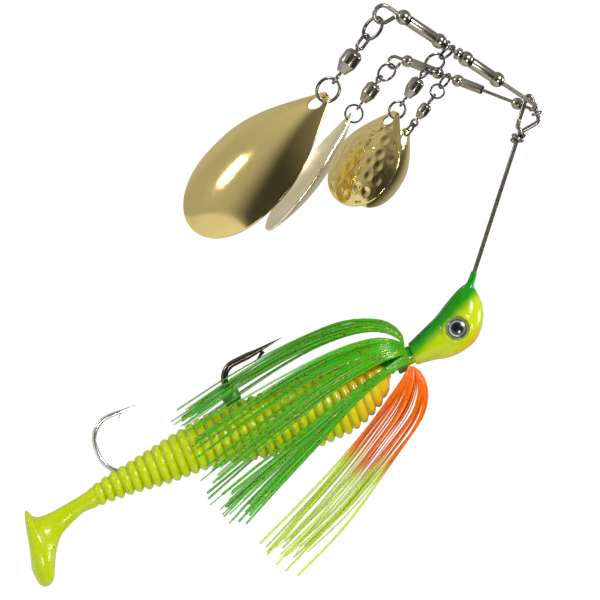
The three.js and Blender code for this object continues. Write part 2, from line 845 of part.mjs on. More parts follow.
piece("trailer_body", trailerBody(), TRAILER_PLASTIC, jig);
const tail = groupAt(jig, ...TAIL_PIVOT);
const tailFromPivot = skinned(TAIL_STATIONS, 14).translate(...TAIL_PIVOT.clone().negate());
piece("trailer_tail", tailFromPivot, TRAILER_PLASTIC, tail);

// Skirt: a rubber collar on the head's seat and eight bundles of strands.
const collar = sleeve(COLLAR_R, 2.3 + 0.2, 2.6);
piece("skirt_collar", collar.translate(-3.7, 0, 0), COLLAR_RUBBER, jig);

// A bundle's half width and half thickness, and its path on the +Y side as it leaves the collar to trail back.
const BUNDLES = [
  {
    name: "skirt_top",
    section: [1.35, 0.7],
    material: GREEN_SILICONE,
    path: [
      [-2.6, 2.4, 4.2],
      [-4.2, 3.2, 8.6],
      [-9, 4, 11.6],
      [-17, 4.2, 13.2],
      [-29, 4.3, 12.8],
      [-45, 4.8, 10.2],
      [-60, 5.2, 7.2],
    ],
  },
  {
    name: "skirt_shoulder",
    section: [0.7, 1.45],
    material: GREEN_SILICONE,
    path: [
      [-2.6, 4.3, 1.3],
      [-6, 7, 3.6],
      [-14, 9.2, 5.2],
      [-28, 10.4, 3.2],
      [-43, 10, -1.2],
      [-58, 8.4, -7],
    ],
  },
  {
    name: "skirt_side",
    section: [0.7, 1.45],
    material: GREEN_SILICONE,
    path: [
      [-2.6, 4.2, -2.1],
      [-6, 7.2, -2.6],
      [-14, 9.4, -4.4],
      [-28, 10.6, -9.4],
      [-42, 9.6, -16],
      [-57, 7.6, -23],
    ],
  },
  {
    name: "skirt_throat",
    section: [1.3, 0.8],
    material: ORANGE_SILICONE,
    path: [
      [-2.6, 1.75, -4.4],
      [-1.4, 2.4, -8.4],
      [-2.6, 2.9, -13],
      [-8, 3.2, -19.8],
      [-20, 3.2, -27.8],
      [-34, 3, -33.8],
      [-48, 2.8, -38.2],
    ],
  },
];
for (const { name, section, material, path } of BUNDLES) {
  for (const [end, side] of [
    ["near", -1],
    ["far", 1],
  ]) {
    const curve = new THREE.CatmullRomCurve3(path.map(([x, y, z]) => vec(x, side * y, z)));
    const geometry = sweep(curve.getSpacedPoints(11), ellipseSection(...section, 6));
    piece(`${name}_${end}`, geometry, material, jig);
  }
}

export default lure;
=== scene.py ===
"""Looks of a hanging twin-arm spinnerbait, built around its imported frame.

Fields and constants are in millimetres and degrees; meshes are made in metres. Every piece is modelled at
rest, in the frame's own axes: +Z up along the line, -X out along the blade arms. The jig's pieces are drawn
in the jig's own axes, with x forward along the hook's shank and z towards the hook's point.
"""

import json
import logging
import math
import random
from dataclasses import dataclass, field
from enum import Enum
from typing import Any, Callable, Iterable, Optional, Sequence, Union

import bmesh
import bpy
import numpy as np
from mathutils import Matrix, Vector


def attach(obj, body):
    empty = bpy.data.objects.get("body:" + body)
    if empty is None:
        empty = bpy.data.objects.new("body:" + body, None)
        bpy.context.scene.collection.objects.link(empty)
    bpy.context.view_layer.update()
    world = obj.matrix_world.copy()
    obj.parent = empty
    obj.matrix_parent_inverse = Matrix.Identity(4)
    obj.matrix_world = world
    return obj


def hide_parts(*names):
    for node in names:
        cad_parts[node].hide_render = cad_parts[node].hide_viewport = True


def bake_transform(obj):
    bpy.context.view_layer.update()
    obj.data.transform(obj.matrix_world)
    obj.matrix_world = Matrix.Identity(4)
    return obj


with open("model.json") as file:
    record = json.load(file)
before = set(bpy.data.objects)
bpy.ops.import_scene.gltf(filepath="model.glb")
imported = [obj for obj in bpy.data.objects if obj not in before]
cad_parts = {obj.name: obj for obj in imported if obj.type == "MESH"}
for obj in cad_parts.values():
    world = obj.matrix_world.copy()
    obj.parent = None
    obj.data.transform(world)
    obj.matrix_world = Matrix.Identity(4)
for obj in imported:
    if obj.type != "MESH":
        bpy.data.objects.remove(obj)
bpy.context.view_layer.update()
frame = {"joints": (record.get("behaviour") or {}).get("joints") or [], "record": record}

MM = 0.001
LOG = logging.getLogger("spinnerbait")
Array = np.ndarray
Colour = tuple[float, float, float]
JOINTS = {joint["child"]: joint for joint in frame["joints"]}
BODY_OF = {node: body for body, nodes in frame["record"]["behaviour"]["bodies"].items() for node in nodes}


# ---- shader values -------------------------------------------------------------------------------


class Value:
    """A shader socket that takes part in Python expressions."""

    def __init__(self, tree: bpy.types.NodeTree, socket: bpy.types.NodeSocket) -> None:
        """Keeps the tree that new nodes go into and the socket that holds the value."""
        self.tree = tree
        self.socket = socket

    def _math(self, operation: str, *operands: Any) -> "Value":
        """Adds a Math node.

        Args:
            operation: the node's operation.
            operands: values or numbers, in the node's order.

        Returns:
            The node's result.
        """
        return Shader.add(self.tree, "ShaderNodeMath", {"operation": operation}, dict(enumerate(operands)))

    def __add__(self, other: Any) -> "Value":
        """This plus other."""
        return self._math("ADD", self, other)

    __radd__ = __add__

    def __sub__(self, other: Any) -> "Value":
        """This minus other."""
        return self._math("SUBTRACT", self, other)

    def __rsub__(self, other: Any) -> "Value":
        """Other minus this."""
        return self._math("SUBTRACT", other, self)

    def __mul__(self, other: Any) -> "Value":
        """This times other."""
        return self._math("MULTIPLY", self, other)

    __rmul__ = __mul__

    def __lt__(self, other: Any) -> "Value":
        """1 where this is less than other, and 0 elsewhere."""
        return self._math("LESS_THAN", self, other)

    def _vector(self, operation: str, other: Sequence[float], output: Any = 0) -> "Value":
        """Adds a Vector Math node on this vector and a fixed one.

        Args:
            operation: the node's operation.
            other: the fixed vector.
            output: the output that is returned.

        Returns:
            The node's result.
        """
        inputs = {0: self, 1: tuple(other)}
        return Shader.add(self.tree, "ShaderNodeVectorMath", {"operation": operation}, inputs, output)

    def step(self, low: float, high: float) -> "Value":
        """Rises smoothly from 0 at low to 1 at high."""
        settings = {"interpolation_type": "SMOOTHSTEP"}
        inputs = {0: self, 1: low, 2: high, 3: 0.0, 4: 1.0}
        return Shader.add(self.tree, "ShaderNodeMapRange", settings, inputs)

    def dot(self, direction: Sequence[float]) -> "Value":
        """The vector's length along a direction."""
        return self._vector("DOT_PRODUCT", direction, "Value")

    def minus(self, vector: Sequence[float]) -> "Value":
        """The vector less another."""
        return self._vector("SUBTRACT", vector)

    def scaled(self, factors: Sequence[float]) -> "Value":
        """The vector with each of its parts scaled."""
        return self._vector("MULTIPLY", factors)


Part = Union[Value, float, Sequence[float]]


class Shader:
    """A material's node tree, with a Principled shader that the finishes feed."""

    def __init__(self, name: str) -> None:
        """Makes an empty material.

        Args:
            name: the material's name.
        """
        self.material = bpy.data.materials.new(name)
        self.material.use_nodes = True
        self.tree = self.material.node_tree
        self.tree.nodes.clear()

    @staticmethod
    def add(
        tree: bpy.types.NodeTree,
        kind: str,
        settings: Optional[dict[str, Any]] = None,
        inputs: Optional[dict[Any, Any]] = None,
        output: Union[int, str] = 0,
    ) -> Value:
        """Adds one node.

        Args:
            tree: the tree that takes the node.
            kind: the node's type.
            settings: its properties, set first.
            inputs: its sockets' values or links, by name or number.
            output: the socket that is returned.

        Returns:
            The chosen output.
        """
        node = tree.nodes.new(kind)
        for key, value in (settings or {}).items():
            setattr(node, key, value)
        for key, value in (inputs or {}).items():
            if isinstance(value, Value):
                tree.links.new(value.socket, node.inputs[key])
            elif isinstance(value, tuple) and len(value) == 3 and node.inputs[key].type == "RGBA":
                node.inputs[key].default_value = (*value, 1.0)
            else:
                node.inputs[key].default_value = value
        return Value(tree, node.outputs[output] if node.outputs else None)

    def node(
        self,
        kind: str,
        settings: Optional[dict[str, Any]] = None,
        inputs: Optional[dict[Any, Any]] = None,
        output: Union[int, str] = 0,
    ) -> Value:
        """Adds one node to this material's tree.

        Args:
            kind: the node's type.
            settings: its properties, set first.
            inputs: its sockets' values or links, by name or number.
            output: the socket that is returned.

        Returns:
            The chosen output.
        """
        return self.add(self.tree, kind, settings, inputs, output)

    def place(self) -> Value:
        """The point's place on the piece at rest, in the frame's axes and in millimetres."""
        coordinates = self.node("ShaderNodeTexCoord", output="Object")
        return coordinates.scaled((1 / MM, 1 / MM, 1 / MM))

    def noise(self, where: Value, scale: float, detail: float = 2.0, rough: float = 0.5) -> Value:
        """Smooth noise between 0 and 1.

        Args:
            where: the point it is read at.
            scale: ripples to a unit of where.
            detail: octaves.
            rough: how strong the finer octaves are.

        Returns:
            The noise.
        """
        inputs = {"Vector": where, "Scale": scale, "Detail": detail, "Roughness": rough}
        return self.node("ShaderNodeTexNoise", {}, inputs)

    def cells(self, where: Value, scale: float) -> Value:
        """The distance to the nearest of many scattered points."""
        return self.node("ShaderNodeTexVoronoi", {}, {"Vector": where, "Scale": scale}, "Distance")

    def attribute(self, name: str) -> Value:
        """A number kept on the mesh's points."""
        return self.node("ShaderNodeAttribute", {"attribute_name": name}, output="Fac")

    def mix(self, factor: Part, first: Part, second: Part) -> Value:
        """A colour between two colours.

        Args:
            factor: 0 for the first colour, 1 for the second.
            first: a colour.
            second: a colour.

        Returns:
            The mixed colour.
        """
        return self.node("ShaderNodeMix", {"data_type": "RGBA"}, {0: factor, 6: first, 7: second}, 2)

    def bump(self, height: Value, distance: float) -> Value:
        """A normal bent by a height between 0 and 1 that stands for distance in millimetres."""
        inputs = {"Height": height, "Distance": distance * MM, "Strength": 1.0}
        return self.node("ShaderNodeBump", {}, inputs)

    def principled(self, inputs: dict[str, Any]) -> bpy.types.Material:
        """Ends the tree in a Principled shader.

        Args:
            inputs: its sockets' values or links, by name.

        Returns:
            The finished material.
        """
        shader = self.node("ShaderNodeBsdfPrincipled", {}, inputs)
        self.node("ShaderNodeOutputMaterial", {}, {"Surface": shader})
        return self.material


# ---- finishes ------------------------------------------------------------------------------------


@dataclass(frozen=True)
class Finish:
    """How a surface looks, and the record's slot that it belongs to."""

    name: str
    slot: str

    def material(self) -> bpy.types.Material:
        """Makes the material, or returns the one already made."""
        return bpy.data.materials.get(self.name) or self.build(Shader(self.name))

    def build(self, shader: Shader) -> bpy.types.Material:
        """Fills the shader; each finish has its own."""
        raise NotImplementedError


@dataclass(frozen=True)
class Plating(Finish):
    """Polished or drawn metal with faint smears, scratches and darker stains."""

    bright: Colour
    stain: Colour
    roughness: float
    stained: float
    grain: float

    def build(self, shader: Shader) -> bpy.types.Material:
        """Mixes stains into the metal and varies its polish."""
        place = shader.place()
        smear = shader.noise(place, 0.35, 4.0, 0.6)
        speckle = shader.noise(place, 2.2, 3.0, 0.65)
        stains = (smear * 0.6 + speckle * 0.4).step(0.52, 0.72) * self.stained
        scratches = shader.noise(place.scaled((1.0, 1.0, 0.12)), 3.0, 2.0, 0.6)
        return shader.principled(
            {
                "Base Color": shader.mix(stains, self.bright, self.stain),
                "Metallic": 1.0,
                "Roughness": smear * 0.12 + (self.roughness - 0.06) + stains * 0.12,
                "Normal": shader.bump(scratches, self.grain),
            }
        )


@dataclass(frozen=True)
class HeadPaint(Finish):
    """Gloss paint: green back, chartreuse cheeks, an orange chin and soot dusted over the nape."""

    back: Colour = (0.0, 0.30, 0.0)
    cheek: Colour = (0.50, 0.62, 0.0)
    chin: Colour = (0.93, 0.25, 0.01)
    belly: Colour = (0.85, 0.75, 0.0)
    soot: Colour = (0.004, 0.02, 0.01)

    def build(self, shader: Shader) -> bpy.types.Material:
        """Sprays each colour along the jig's own axes."""
        place = shader.place().minus(JIG.origin / MM)
        forward = place.dot(JIG.forward)
        up = place.dot(JIG.up)
        haze = shader.noise(place, 0.5, 3.0) - 0.5
        rise = up - forward * 0.42 + haze * 0.9
        colour = shader.mix(rise.step(-2.4, 0.9), self.cheek, self.back)
        low = (up * -1.0 + haze * 1.2).step(1.6, 4.4) * forward.step(3.0, 7.5)
        colour = shader.mix(low * 0.5, colour, self.belly)
        chin = (forward * 0.62 - up + haze).step(10.2, 13.2) * (up * -1.0 + 2.8).step(0.0, 3.0)
        colour = shader.mix(chin * 0.9, colour, self.chin)
        grit = shader.noise(place, 3.6, 3.0, 0.7)
        nape = forward.step(-1.5, 1.5) * (1 - forward.step(6.0, 9.5)) * (up - forward * 0.46).step(0.4, 1.6)
        soot = (grit + nape * 0.36).step(0.84, 0.92)
        colour = shader.mix(soot * 0.92, colour, self.soot)
        orange_peel = shader.noise(place, 0.9, 2.0)
        return shader.principled(
            {
                "Base Color": colour,
                "Roughness": haze * 0.05 + 0.2,
                "Specular IOR Level": 0.25,
                "Coat Weight": 0.45,
                "Coat Roughness": 0.03,
                "Normal": shader.bump(orange_peel, 0.05),
            }
        )


@dataclass(frozen=True)
class EyeFoil(Finish):
    """A stick-on eye: black pupil, bright foil ring, dark ring and rim under a clear dome."""

    def build(self, shader: Shader) -> bpy.types.Material:
        """Draws the rings from the distance to the eye's middle, kept on the mesh."""
        radius = shader.attribute("radius")
        grain = shader.noise(shader.place(), 5.0, 3.0, 0.7)
        foil = radius.step(1.55, 1.72) * (1 - radius.step(1.95, 2.15))
        rim = radius.step(2.35, 2.55)
        shine = foil + rim * 0.8
        ink = shader.mix(radius.step(1.5, 1.8), (0.001, 0.001, 0.002), (0.012, 0.018, 0.018))
        silver = shader.mix(grain.step(0.4, 0.6), (0.62, 0.66, 0.62), (0.32, 0.35, 0.33))
        return shader.principled(
            {
                "Base Color": shader.mix(shine, ink, silver),
                "Metallic": shine * 0.75,
                "Roughness": 0.28 - shine * 0.08,
                "Coat Weight": 1.0,
                "Coat Roughness": 0.01,
            }
        )


@dataclass(frozen=True)
class SoftPlastic(Finish):
    """Clear-tinted trailer plastic with a few dark flecks, yellower towards its nose, with painted shade in
    its grooves.
    """

    tint: Colour = (0.50, 0.62, 0.0)
    # groove: the darker colour of the painted shade down in the ribs' grooves
    groove: Colour = (0.40, 0.46, 0.0)
    nose: Colour = (0.74, 0.48, 0.01)
    tail: Colour = (0.46, 0.57, 0.0)
    fleck: Colour = (0.10, 0.12, 0.0)

    def build(self, shader: Shader) -> bpy.types.Material:
        """Paints shade into the grooves and scatters the flecks."""
        place = shader.place().minus(JIG.origin / MM)
        forward = place.dot(JIG.forward)
        depth = shader.attribute("groove")
        cloud = shader.noise(place, 0.18, 3.0, 0.6)
        # Painted shade: the colour darkens with the depth of each groove between the ribs, where shade
        # falls.
        colour = shader.mix((depth * 0.7 + (cloud - 0.5) * 0.5).step(0.0, 1.0), self.tint, self.groove)
        colour = shader.mix((forward + cloud * 14.0).step(-22.0, -5.0) * 0.85, colour, self.nose)
        colour = shader.mix((forward * -1.0).step(82.0, 94.0) * 0.7, colour, self.tail)
        seeds = shader.cells(place, 0.42)
        chosen = shader.noise(place, 0.9, 1.0).step(0.62, 0.66)
        flecks = (seeds < 0.12) * chosen
        ripple = shader.noise(place, 1.3, 2.0)
        return shader.principled(
            {
                "Base Color": shader.mix(flecks * 0.85, colour, self.fleck),
                "Roughness": cloud * 0.16 + 0.16,
                "Subsurface Weight": 0.35,
                "Subsurface Radius": (1.0, 1.0, 0.3),
                "Subsurface Scale": 2.5 * MM,
                "IOR": 1.43,
                "Specular IOR Level": 0.3,
                "Coat Weight": 0.3,
                "Coat Roughness": 0.08,
                "Normal": shader.bump(ripple, 0.12),
            }
        )


@dataclass(frozen=True)
class Silicone(Finish):
    """Skirt strands: tinted silicone that changes colour along its length, with moulded-in flecks."""

    root: Colour
    tip: Colour
    fleck: Colour
    glint: Colour
    fade: tuple[float, float]
    flecked: float

    def build(self, shader: Shader) -> bpy.types.Material:
        """Fades along the strand, paints shade on the strands, and scatters dark and gold flecks."""
        place = shader.place()
        run = shader.attribute("run")
        shade = shader.attribute("shade")
        cloud = shader.noise(place, 0.25, 2.0)
        colour = shader.mix((run + (shade - 0.5) * 0.12).step(*self.fade), self.root, self.tip)
        # Painted shade: each strand darkens by its own random amount, as strands do in each other's shade.
        colour = shader.mix(shade * 0.35 + cloud * 0.15, colour, self.overlap_shade(colour, shader))
        seeds = shader.cells(place, 1.5)
        bands = shader.noise(place, 0.42, 2.0, 0.6)
        flecks = (seeds < 0.2 + 0.19 * self.flecked) * (bands + self.flecked * 0.14).step(0.5, 0.56)
        sparkle = shader.noise(place, 2.6, 1.0).step(0.5, 0.56)
        fleck_colour = shader.mix(sparkle, self.fleck, self.glint)
        return shader.principled(
            {
                "Base Color": shader.mix(flecks, colour, fleck_colour),
                "Metallic": flecks * sparkle * 0.6,
                "Roughness": cloud * 0.15 + 0.26,
                "Subsurface Weight": 0.3,
                "Subsurface Radius": (1.0, 1.0, 0.6),
                "Subsurface Scale": 1.2 * MM,
                "IOR": 1.41,
                "Specular IOR Level": 0.25,
                "Coat Weight": 0.12,
                "Coat Roughness": 0.12,
                "Alpha": 1.0 - (1.0 - shade * 0.6) * run.step(0.05, 0.6) * 0.5,
            }
        )

    def overlap_shade(self, colour: Value, shader: Shader) -> Value:
        """A darker, denser version of a colour: painted shade, as where strands lie over each other."""
        settings = {"data_type": "RGBA", "blend_type": "MULTIPLY"}
        return shader.node("ShaderNodeMix", settings, {0: 1.0, 6: colour, 7: (0.55, 0.62, 0.5)}, 2)


@dataclass(frozen=True)
class Rubber(Finish):
    """Moulded rubber, mottled, with a soft skin."""

    light: Colour
    dark: Colour
    roughness: float

    def build(self, shader: Shader) -> bpy.types.Material:
        """Mottles the colour and pits the skin."""
        place = shader.place()
        mottle = shader.noise(place, 0.7, 4.0, 0.6)
        pits = shader.noise(place, 4.0, 2.0)
        return shader.principled(
            {
                "Base Color": shader.mix(mottle.step(0.35, 0.7), self.light, self.dark),
                "Roughness": mottle * 0.2 + (self.roughness - 0.1),
                "Subsurface Weight": 0.2,
                "Subsurface Radius": (0.5, 1.0, 0.3),
                "Subsurface Scale": 1.5 * MM,
                "Normal": shader.bump(pits, 0.06),
            }
        )


STEEL = Plating(
    "drawn_steel",
    "steel_wire",
    bright=(0.30, 0.27, 0.235),
    stain=(0.08, 0.055, 0.035),
    roughness=0.27,
    stained=0.7,
    grain=0.0015,
)
NICKEL = Plating(
    "warm_nickel",
    "nickel_plate",
    bright=(0.40, 0.37, 0.30),
    stain=(0.13, 0.105, 0.075),
    roughness=0.2,
    stained=0.6,
    grain=0.0015,
)
RING_STEEL = Plating(
    "ring_steel",
    "steel_wire",
    bright=(0.22, 0.205, 0.18),
    stain=(0.07, 0.06, 0.05),
    roughness=0.26,
    stained=0.6,
    grain=0.0015,
)
GOLD = Plating(
    "mirror_gold",
    "gold_plate",
    bright=(0.88, 0.70, 0.27),
    stain=(0.72, 0.52, 0.16),
    roughness=0.11,
    stained=0.35,
    grain=0.003,
)
PALE_GOLD = Plating(
    "mirror_pale_gold",
    "pale_gold",
    bright=(0.90, 0.80, 0.52),
    stain=(0.74, 0.64, 0.36),
    roughness=0.24,
    stained=0.5,
    grain=0.01,
)
BLACK_NICKEL = Plating(
    "dark_hook_plate",
    "black_nickel",
    bright=(0.13, 0.105, 0.095),
    stain=(0.03, 0.022, 0.02),
    roughness=0.2,
    stained=0.6,
    grain=0.003,
)
HOOK_NICKEL = Plating(
    "bright_hook_plate",
    "hook_nickel",
    bright=(0.78, 0.77, 0.74),
    stain=(0.35, 0.32, 0.28),
    roughness=0.2,
    stained=0.4,
    grain=0.003,
)
PAINT = HeadPaint("sprayed_head_paint", "head_paint")
EYE = EyeFoil("eye_foil", "eye_resin")
TRAILER = SoftPlastic("poured_trailer_plastic", "trailer_plastic")
STOPPER = Rubber(
    "stopper_skin",
    "stopper_rubber",
    light=(0.05, 0.30, 0.02),
    dark=(0.01, 0.11, 0.01),
    roughness=0.25,
)
COLLAR = Rubber(
    "collar_skin",
    "collar_rubber",
    light=(0.10, 0.30, 0.03),
    dark=(0.03, 0.10, 0.02),
    roughness=0.5,
)
GREEN = Silicone(
    "green_strands",
    "skirt_green",
    root=(0.06, 0.50, 0.0),
    tip=(0.08, 0.60, 0.02),
    fleck=(0.10, 0.08, 0.01),
    glint=(0.50, 0.40, 0.08),
    fade=(0.1, 0.9),
    flecked=0.9,
)
ORANGE = Silicone(
    "orange_strands",
    "skirt_orange",
    root=(1.0, 0.16, 0.0),
    tip=(0.66, 0.90, 0.06),
    fleck=(0.02, 0.015, 0.01),
    glint=(0.12, 0.08, 0.02),
    fade=(0.42, 0.56),
    flecked=-0.2,
)


# ---- mesh work -----------------------------------------------------------------------------------


@dataclass(frozen=True)
class Axes:
    """A piece's own axes in the frame."""

    origin: Array
    forward: Array
    left: Array
    up: Array

    def out(self, points: Iterable[Sequence[float]]) -> Array:
        """Points in millimetres along these axes, as metres in the frame."""
        local = np.asarray(list(points), float) * MM
        return self.origin + local @ np.array([self.forward, self.left, self.up])


TAIL_HINGE = (-90.0, 0.0, -3.1)


def jig_axes() -> Axes:
    """The jig's axes, worked out from the tail's hinge, whose place and axis are known in both."""
    hinge = JOINTS["trailer_tail"]
    up = np.array(hinge["axis"], float)
    left = np.array([0.0, 1.0, 0.0])
    forward = np.cross(left, up)
    tail = np.array(TAIL_HINGE) * MM
    origin = np.array(hinge["pos_m"], float) - forward * tail[0] - up * tail[2]
    return Axes(origin, forward, left, up)


JIG = jig_axes()


class Shape:
    """Points and faces gathered before they become one mesh."""

    def __init__(self) -> None:
        """Starts empty."""
        self.points: list[Array] = []
        self.faces: list[tuple[int, ...]] = []
        self.marks: dict[str, list[Array]] = {}
        self.count = 0

    def rings(self, rings: Sequence[Array], closed: bool = False, **marks: Sequence[float]) -> "Shape":
        """Skins a surface over rings of points, with flat caps unless it closes on itself.

        Args:
            rings: rings with the same number of points, each a loop.
            closed: whether the last ring joins the first.
            marks: a number kept on the mesh for each ring, or for each point.

        Returns:
            This shape.
        """
        sides = len(rings[0])
        start = self.count
        self.points.append(np.concatenate(rings))
        self.count += sides * len(rings)
        for name, values in marks.items():
            values = np.asarray(values, float)
            spread = np.repeat(values, sides) if len(values) == len(rings) else values
            self.marks.setdefault(name, []).append(spread)
        pairs = len(rings) if closed else len(rings) - 1
        for i in range(pairs):
            here = start + i * sides
            there = start + ((i + 1) % len(rings)) * sides
            for j in range(sides):
                k = (j + 1) % sides
                self.faces.append((here + j, here + k, there + k, there + j))
        if not closed:
            self.faces.append(tuple(start + j for j in reversed(range(sides))))
            self.faces.append(tuple(start + (len(rings) - 1) * sides + j for j in range(sides)))
        return self

    def build(self, name: str, finish: Finish, creases: float = 50.0) -> bpy.types.Object:
        """Makes the mesh object with its finish.

        Args:
            name: the piece's name.
            finish: its finish.
            creases: edges that turn by more degrees than this stay sharp.

        Returns:
            The object, in place.
        """
        mesh = bpy.data.meshes.new(name)
        mesh.from_pydata(np.concatenate(self.points).tolist(), [], self.faces)
        for mark, values in self.marks.items():
            layer = mesh.attributes.new(mark, "FLOAT", "POINT")
            layer.data.foreach_set("value", np.concatenate(values).astype(np.float32))
        mesh.materials.append(finish.material())
        piece = bpy.data.objects.new(name, mesh)
        bpy.context.scene.collection.objects.link(piece)
        outward(mesh)
        mesh.shade_smooth()
        mesh.set_sharp_from_angle(angle=math.radians(creases))
        return piece


def outward(mesh: bpy.types.Mesh) -> None:
    """Turns every face of a closed mesh to face out."""
    work = bmesh.new()
    work.from_mesh(mesh)
    bmesh.ops.recalc_face_normals(work, faces=work.faces)
    work.to_mesh(mesh)
    work.free()


def circle(across: float, along: float, sides: int) -> Array:
    """An ellipse's corners, in millimetres."""
    angles = (np.arange(sides) + 0.5) / sides * 2 * np.pi
    return np.stack([across * np.cos(angles), along * np.sin(angles)], axis=1)


def tangents(path: Array, closed: bool) -> Array:
    """Unit directions along a path."""
    if closed:
        steps = np.roll(path, -1, axis=0) - np.roll(path, 1, axis=0)
    else:
        steps = np.gradient(path, axis=0)
    return steps / np.linalg.norm(steps, axis=1)[:, None]


def sweep(
    path: Array,
    section: Union[Array, Callable[[float], Array]],
    side: Sequence[float] = (0.0, 1.0, 0.0),
    closed: bool = False,
) -> list[Array]:
    """Rings of a section carried along a path without twist.

    Args:
        path: points in metres.
        section: corners in millimetres, or a function of the share of the path's length that gives them.
        side: the direction that the section's first axis starts along.
        closed: whether the path is a loop.

    Returns:
        One ring for each point.
    """
    direction = tangents(path, closed)
    lengths = np.linalg.norm(np.diff(path, axis=0), axis=1)
    shares = np.concatenate([[0.0], np.cumsum(lengths)]) / lengths.sum()
    across = np.array(side, float)
    rings = []
    for point, along, share in zip(path, direction, shares):
        across = across - along * across.dot(along)
        across = across / np.linalg.norm(across)
        upward = np.cross(along, across)
        corners = (section(share) if callable(section) else section) * MM
        rings.append(point + corners[:, :1] * across + corners[:, 1:] * upward)
    return rings


SPLINE_STEPS = 24


def spline(points: Sequence[Sequence[float]], count: int) -> Array:
    """A smooth curve through points, with evenly spaced results.

    Args:
        points: the points that it passes, of any dimension.
        count: how many results to return.

    Returns:
        Points along the curve.
    """
    knots = np.asarray(points, float)
    padded = np.concatenate([2 * knots[:1] - knots[1:2], knots, 2 * knots[-1:] - knots[-2:-1]])
    fine = []
    for i in range(len(knots) - 1):
        a, b, c, d = padded[i : i + 4]
        square = 2 * a - 5 * b + 4 * c - d
        cube = 3 * b - a - 3 * c + d
        for t in np.linspace(0, 1, SPLINE_STEPS, endpoint=False):
            fine.append(0.5 * (2 * b + (c - a) * t + square * t**2 + cube * t**3))
    fine = np.array([*fine, knots[-1]])
    lengths = np.concatenate([[0.0], np.cumsum(np.linalg.norm(np.diff(fine, axis=0), axis=1))])
    wanted = np.linspace(0, lengths[-1], count)
    return np.stack([np.interp(wanted, lengths, fine[:, k]) for k in range(fine.shape[1])], axis=1)


def bent(corners: Sequence[Sequence[float]], step: float = 8.0) -> Array:
    """A wire's path through corners [x, y, z, bend radius], with each corner rounded into an arc.

    Args:
        corners: the corners, in millimetres; a missing radius is a sharp corner.
        step: degrees of bend between two points of an arc.

    Returns:
        The path's points, in millimetres.
    """
    at = [np.array(corner[:3], float) for corner in corners]
    points = [at[0]]
    for i in range(1, len(corners) - 1):
        radius = corners[i][3] if len(corners[i]) > 3 else 0.0
        back = Vector(at[i - 1] - at[i]).normalized()
        onward = Vector(at[i + 1] - at[i]).normalized()
        opening = back.angle(onward)
        if radius == 0.0:
            points.append(at[i])
            continue
        turn = math.pi - opening
        count = max(2, round(math.degrees(turn) / step))
        centre = Vector(at[i]) + (back + onward).normalized() * (radius / math.sin(opening / 2))
        start = Vector(at[i]) + back * (radius / math.tan(opening / 2)) - centre
        axis = onward.cross(back).normalized()
        for k in range(count + 1):
            points.append(np.array(centre + Matrix.Rotation(turn * k / count, 3, axis) @ start))
    points.append(at[-1])
    return np.array(points)


def dense(path: Array, gap: float) -> Array:
    """A path with points added on its long straight stretches.

    Args:
        path: the path's points.
        gap: the longest step that is left.

    Returns:
        The fuller path.
    """
    points = [path[0]]
    for a, b in zip(path[:-1], path[1:]):
        count = max(1, math.ceil(np.linalg.norm(b - a) / gap))
        points.extend(a + (b - a) * (k / count) for k in range(1, count + 1))
    return np.array(points)


def turned(profile: Sequence[Sequence[float]], centre: Array, axis: Array, sides: int = 40) -> list[Array]:
    """Rings of a turned piece.

    Args:
        profile: radius and height pairs along the axis, in millimetres.
        centre: the place that height 0 is at, in metres.
        axis: the unit direction of the axis.
        sides: points around.

    Returns:
        One ring for each pair.
    """
    across = np.cross(axis, [0.0, 1.0, 0.0] if abs(axis[1]) < 0.9 else [1.0, 0.0, 0.0])
    across = across / np.linalg.norm(across)
    around = np.cross(axis, across)
    angles = np.arange(sides) / sides * 2 * np.pi
    loop = np.cos(angles)[:, None] * across + np.sin(angles)[:, None] * around
    return [centre + (loop * radius + axis * height) * MM for radius, height in profile]


def rounded(profile: Sequence[Sequence[float]], radius: float) -> list[Array]:
    """A closed profile with its corners eased.

    Args:
        profile: the corners of a loop.
        radius: how far from each corner the easing starts.

    Returns:
        Three points for each corner.
    """
    corners = [np.array(corner, float) for corner in profile]
    eased = []
    for i, corner in enumerate(corners):
        for other in (corners[i - 1], corners[(i + 1) % len(corners)]):
            reach = np.linalg.norm(other - corner)
            eased.append(corner + (other - corner) * min(0.4, radius / reach))
        middle = (eased[-2] + eased[-1]) / 2
        eased.insert(-1, corner + (middle - corner) * 0.42)
    return eased


def settle(piece: bpy.types.Object, finish: Finish, *nodes: str) -> bpy.types.Object:
    """Puts a finished piece on the body of the nodes that it stands for.

    Args:
        piece: the mesh object.
        finish: its finish; not used.
        nodes: the CAD nodes that it replaces; the first one's body carries it.

    Returns:
        The piece.
    """
    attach(piece, BODY_OF[nodes[0]])
    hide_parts(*nodes)
    return piece


def facing(angle: float) -> tuple[Array, Array]:
    """A flat link's level direction and its normal.

    Args:
        angle: the turn of the normal from -Y towards +X, seen from above, in degrees.

    Returns:
        The direction across the link, and its normal.
    """
    turn = math.radians(angle)
    across = np.array([math.cos(turn), math.sin(turn), 0.0])
    return across, np.array([math.sin(turn), -math.cos(turn), 0.0])


DOWN = np.array([0.0, 0.0, -1.0])
PLAY = 0.07


def pivot(node: str) -> Array:
    """The hinge's place of the body that a node belongs to."""
    return np.array(JOINTS[BODY_OF[node]]["pos_m"], float)


# ---- wires ---------------------------------------------------------------------------------------


@dataclass(frozen=True)
class Arm:
    """A blade arm: a wire hooked round the line-tie eye's upper leg, with an end loop."""

    name: str
    side: float
    wire: float
    yaw: float
    pitch: float
    hook_at: float
    sweep: float
    rise: float
    bend: float
    loop: float
    loop_at: float
    tip_at: float
    bead: float
    tube: float


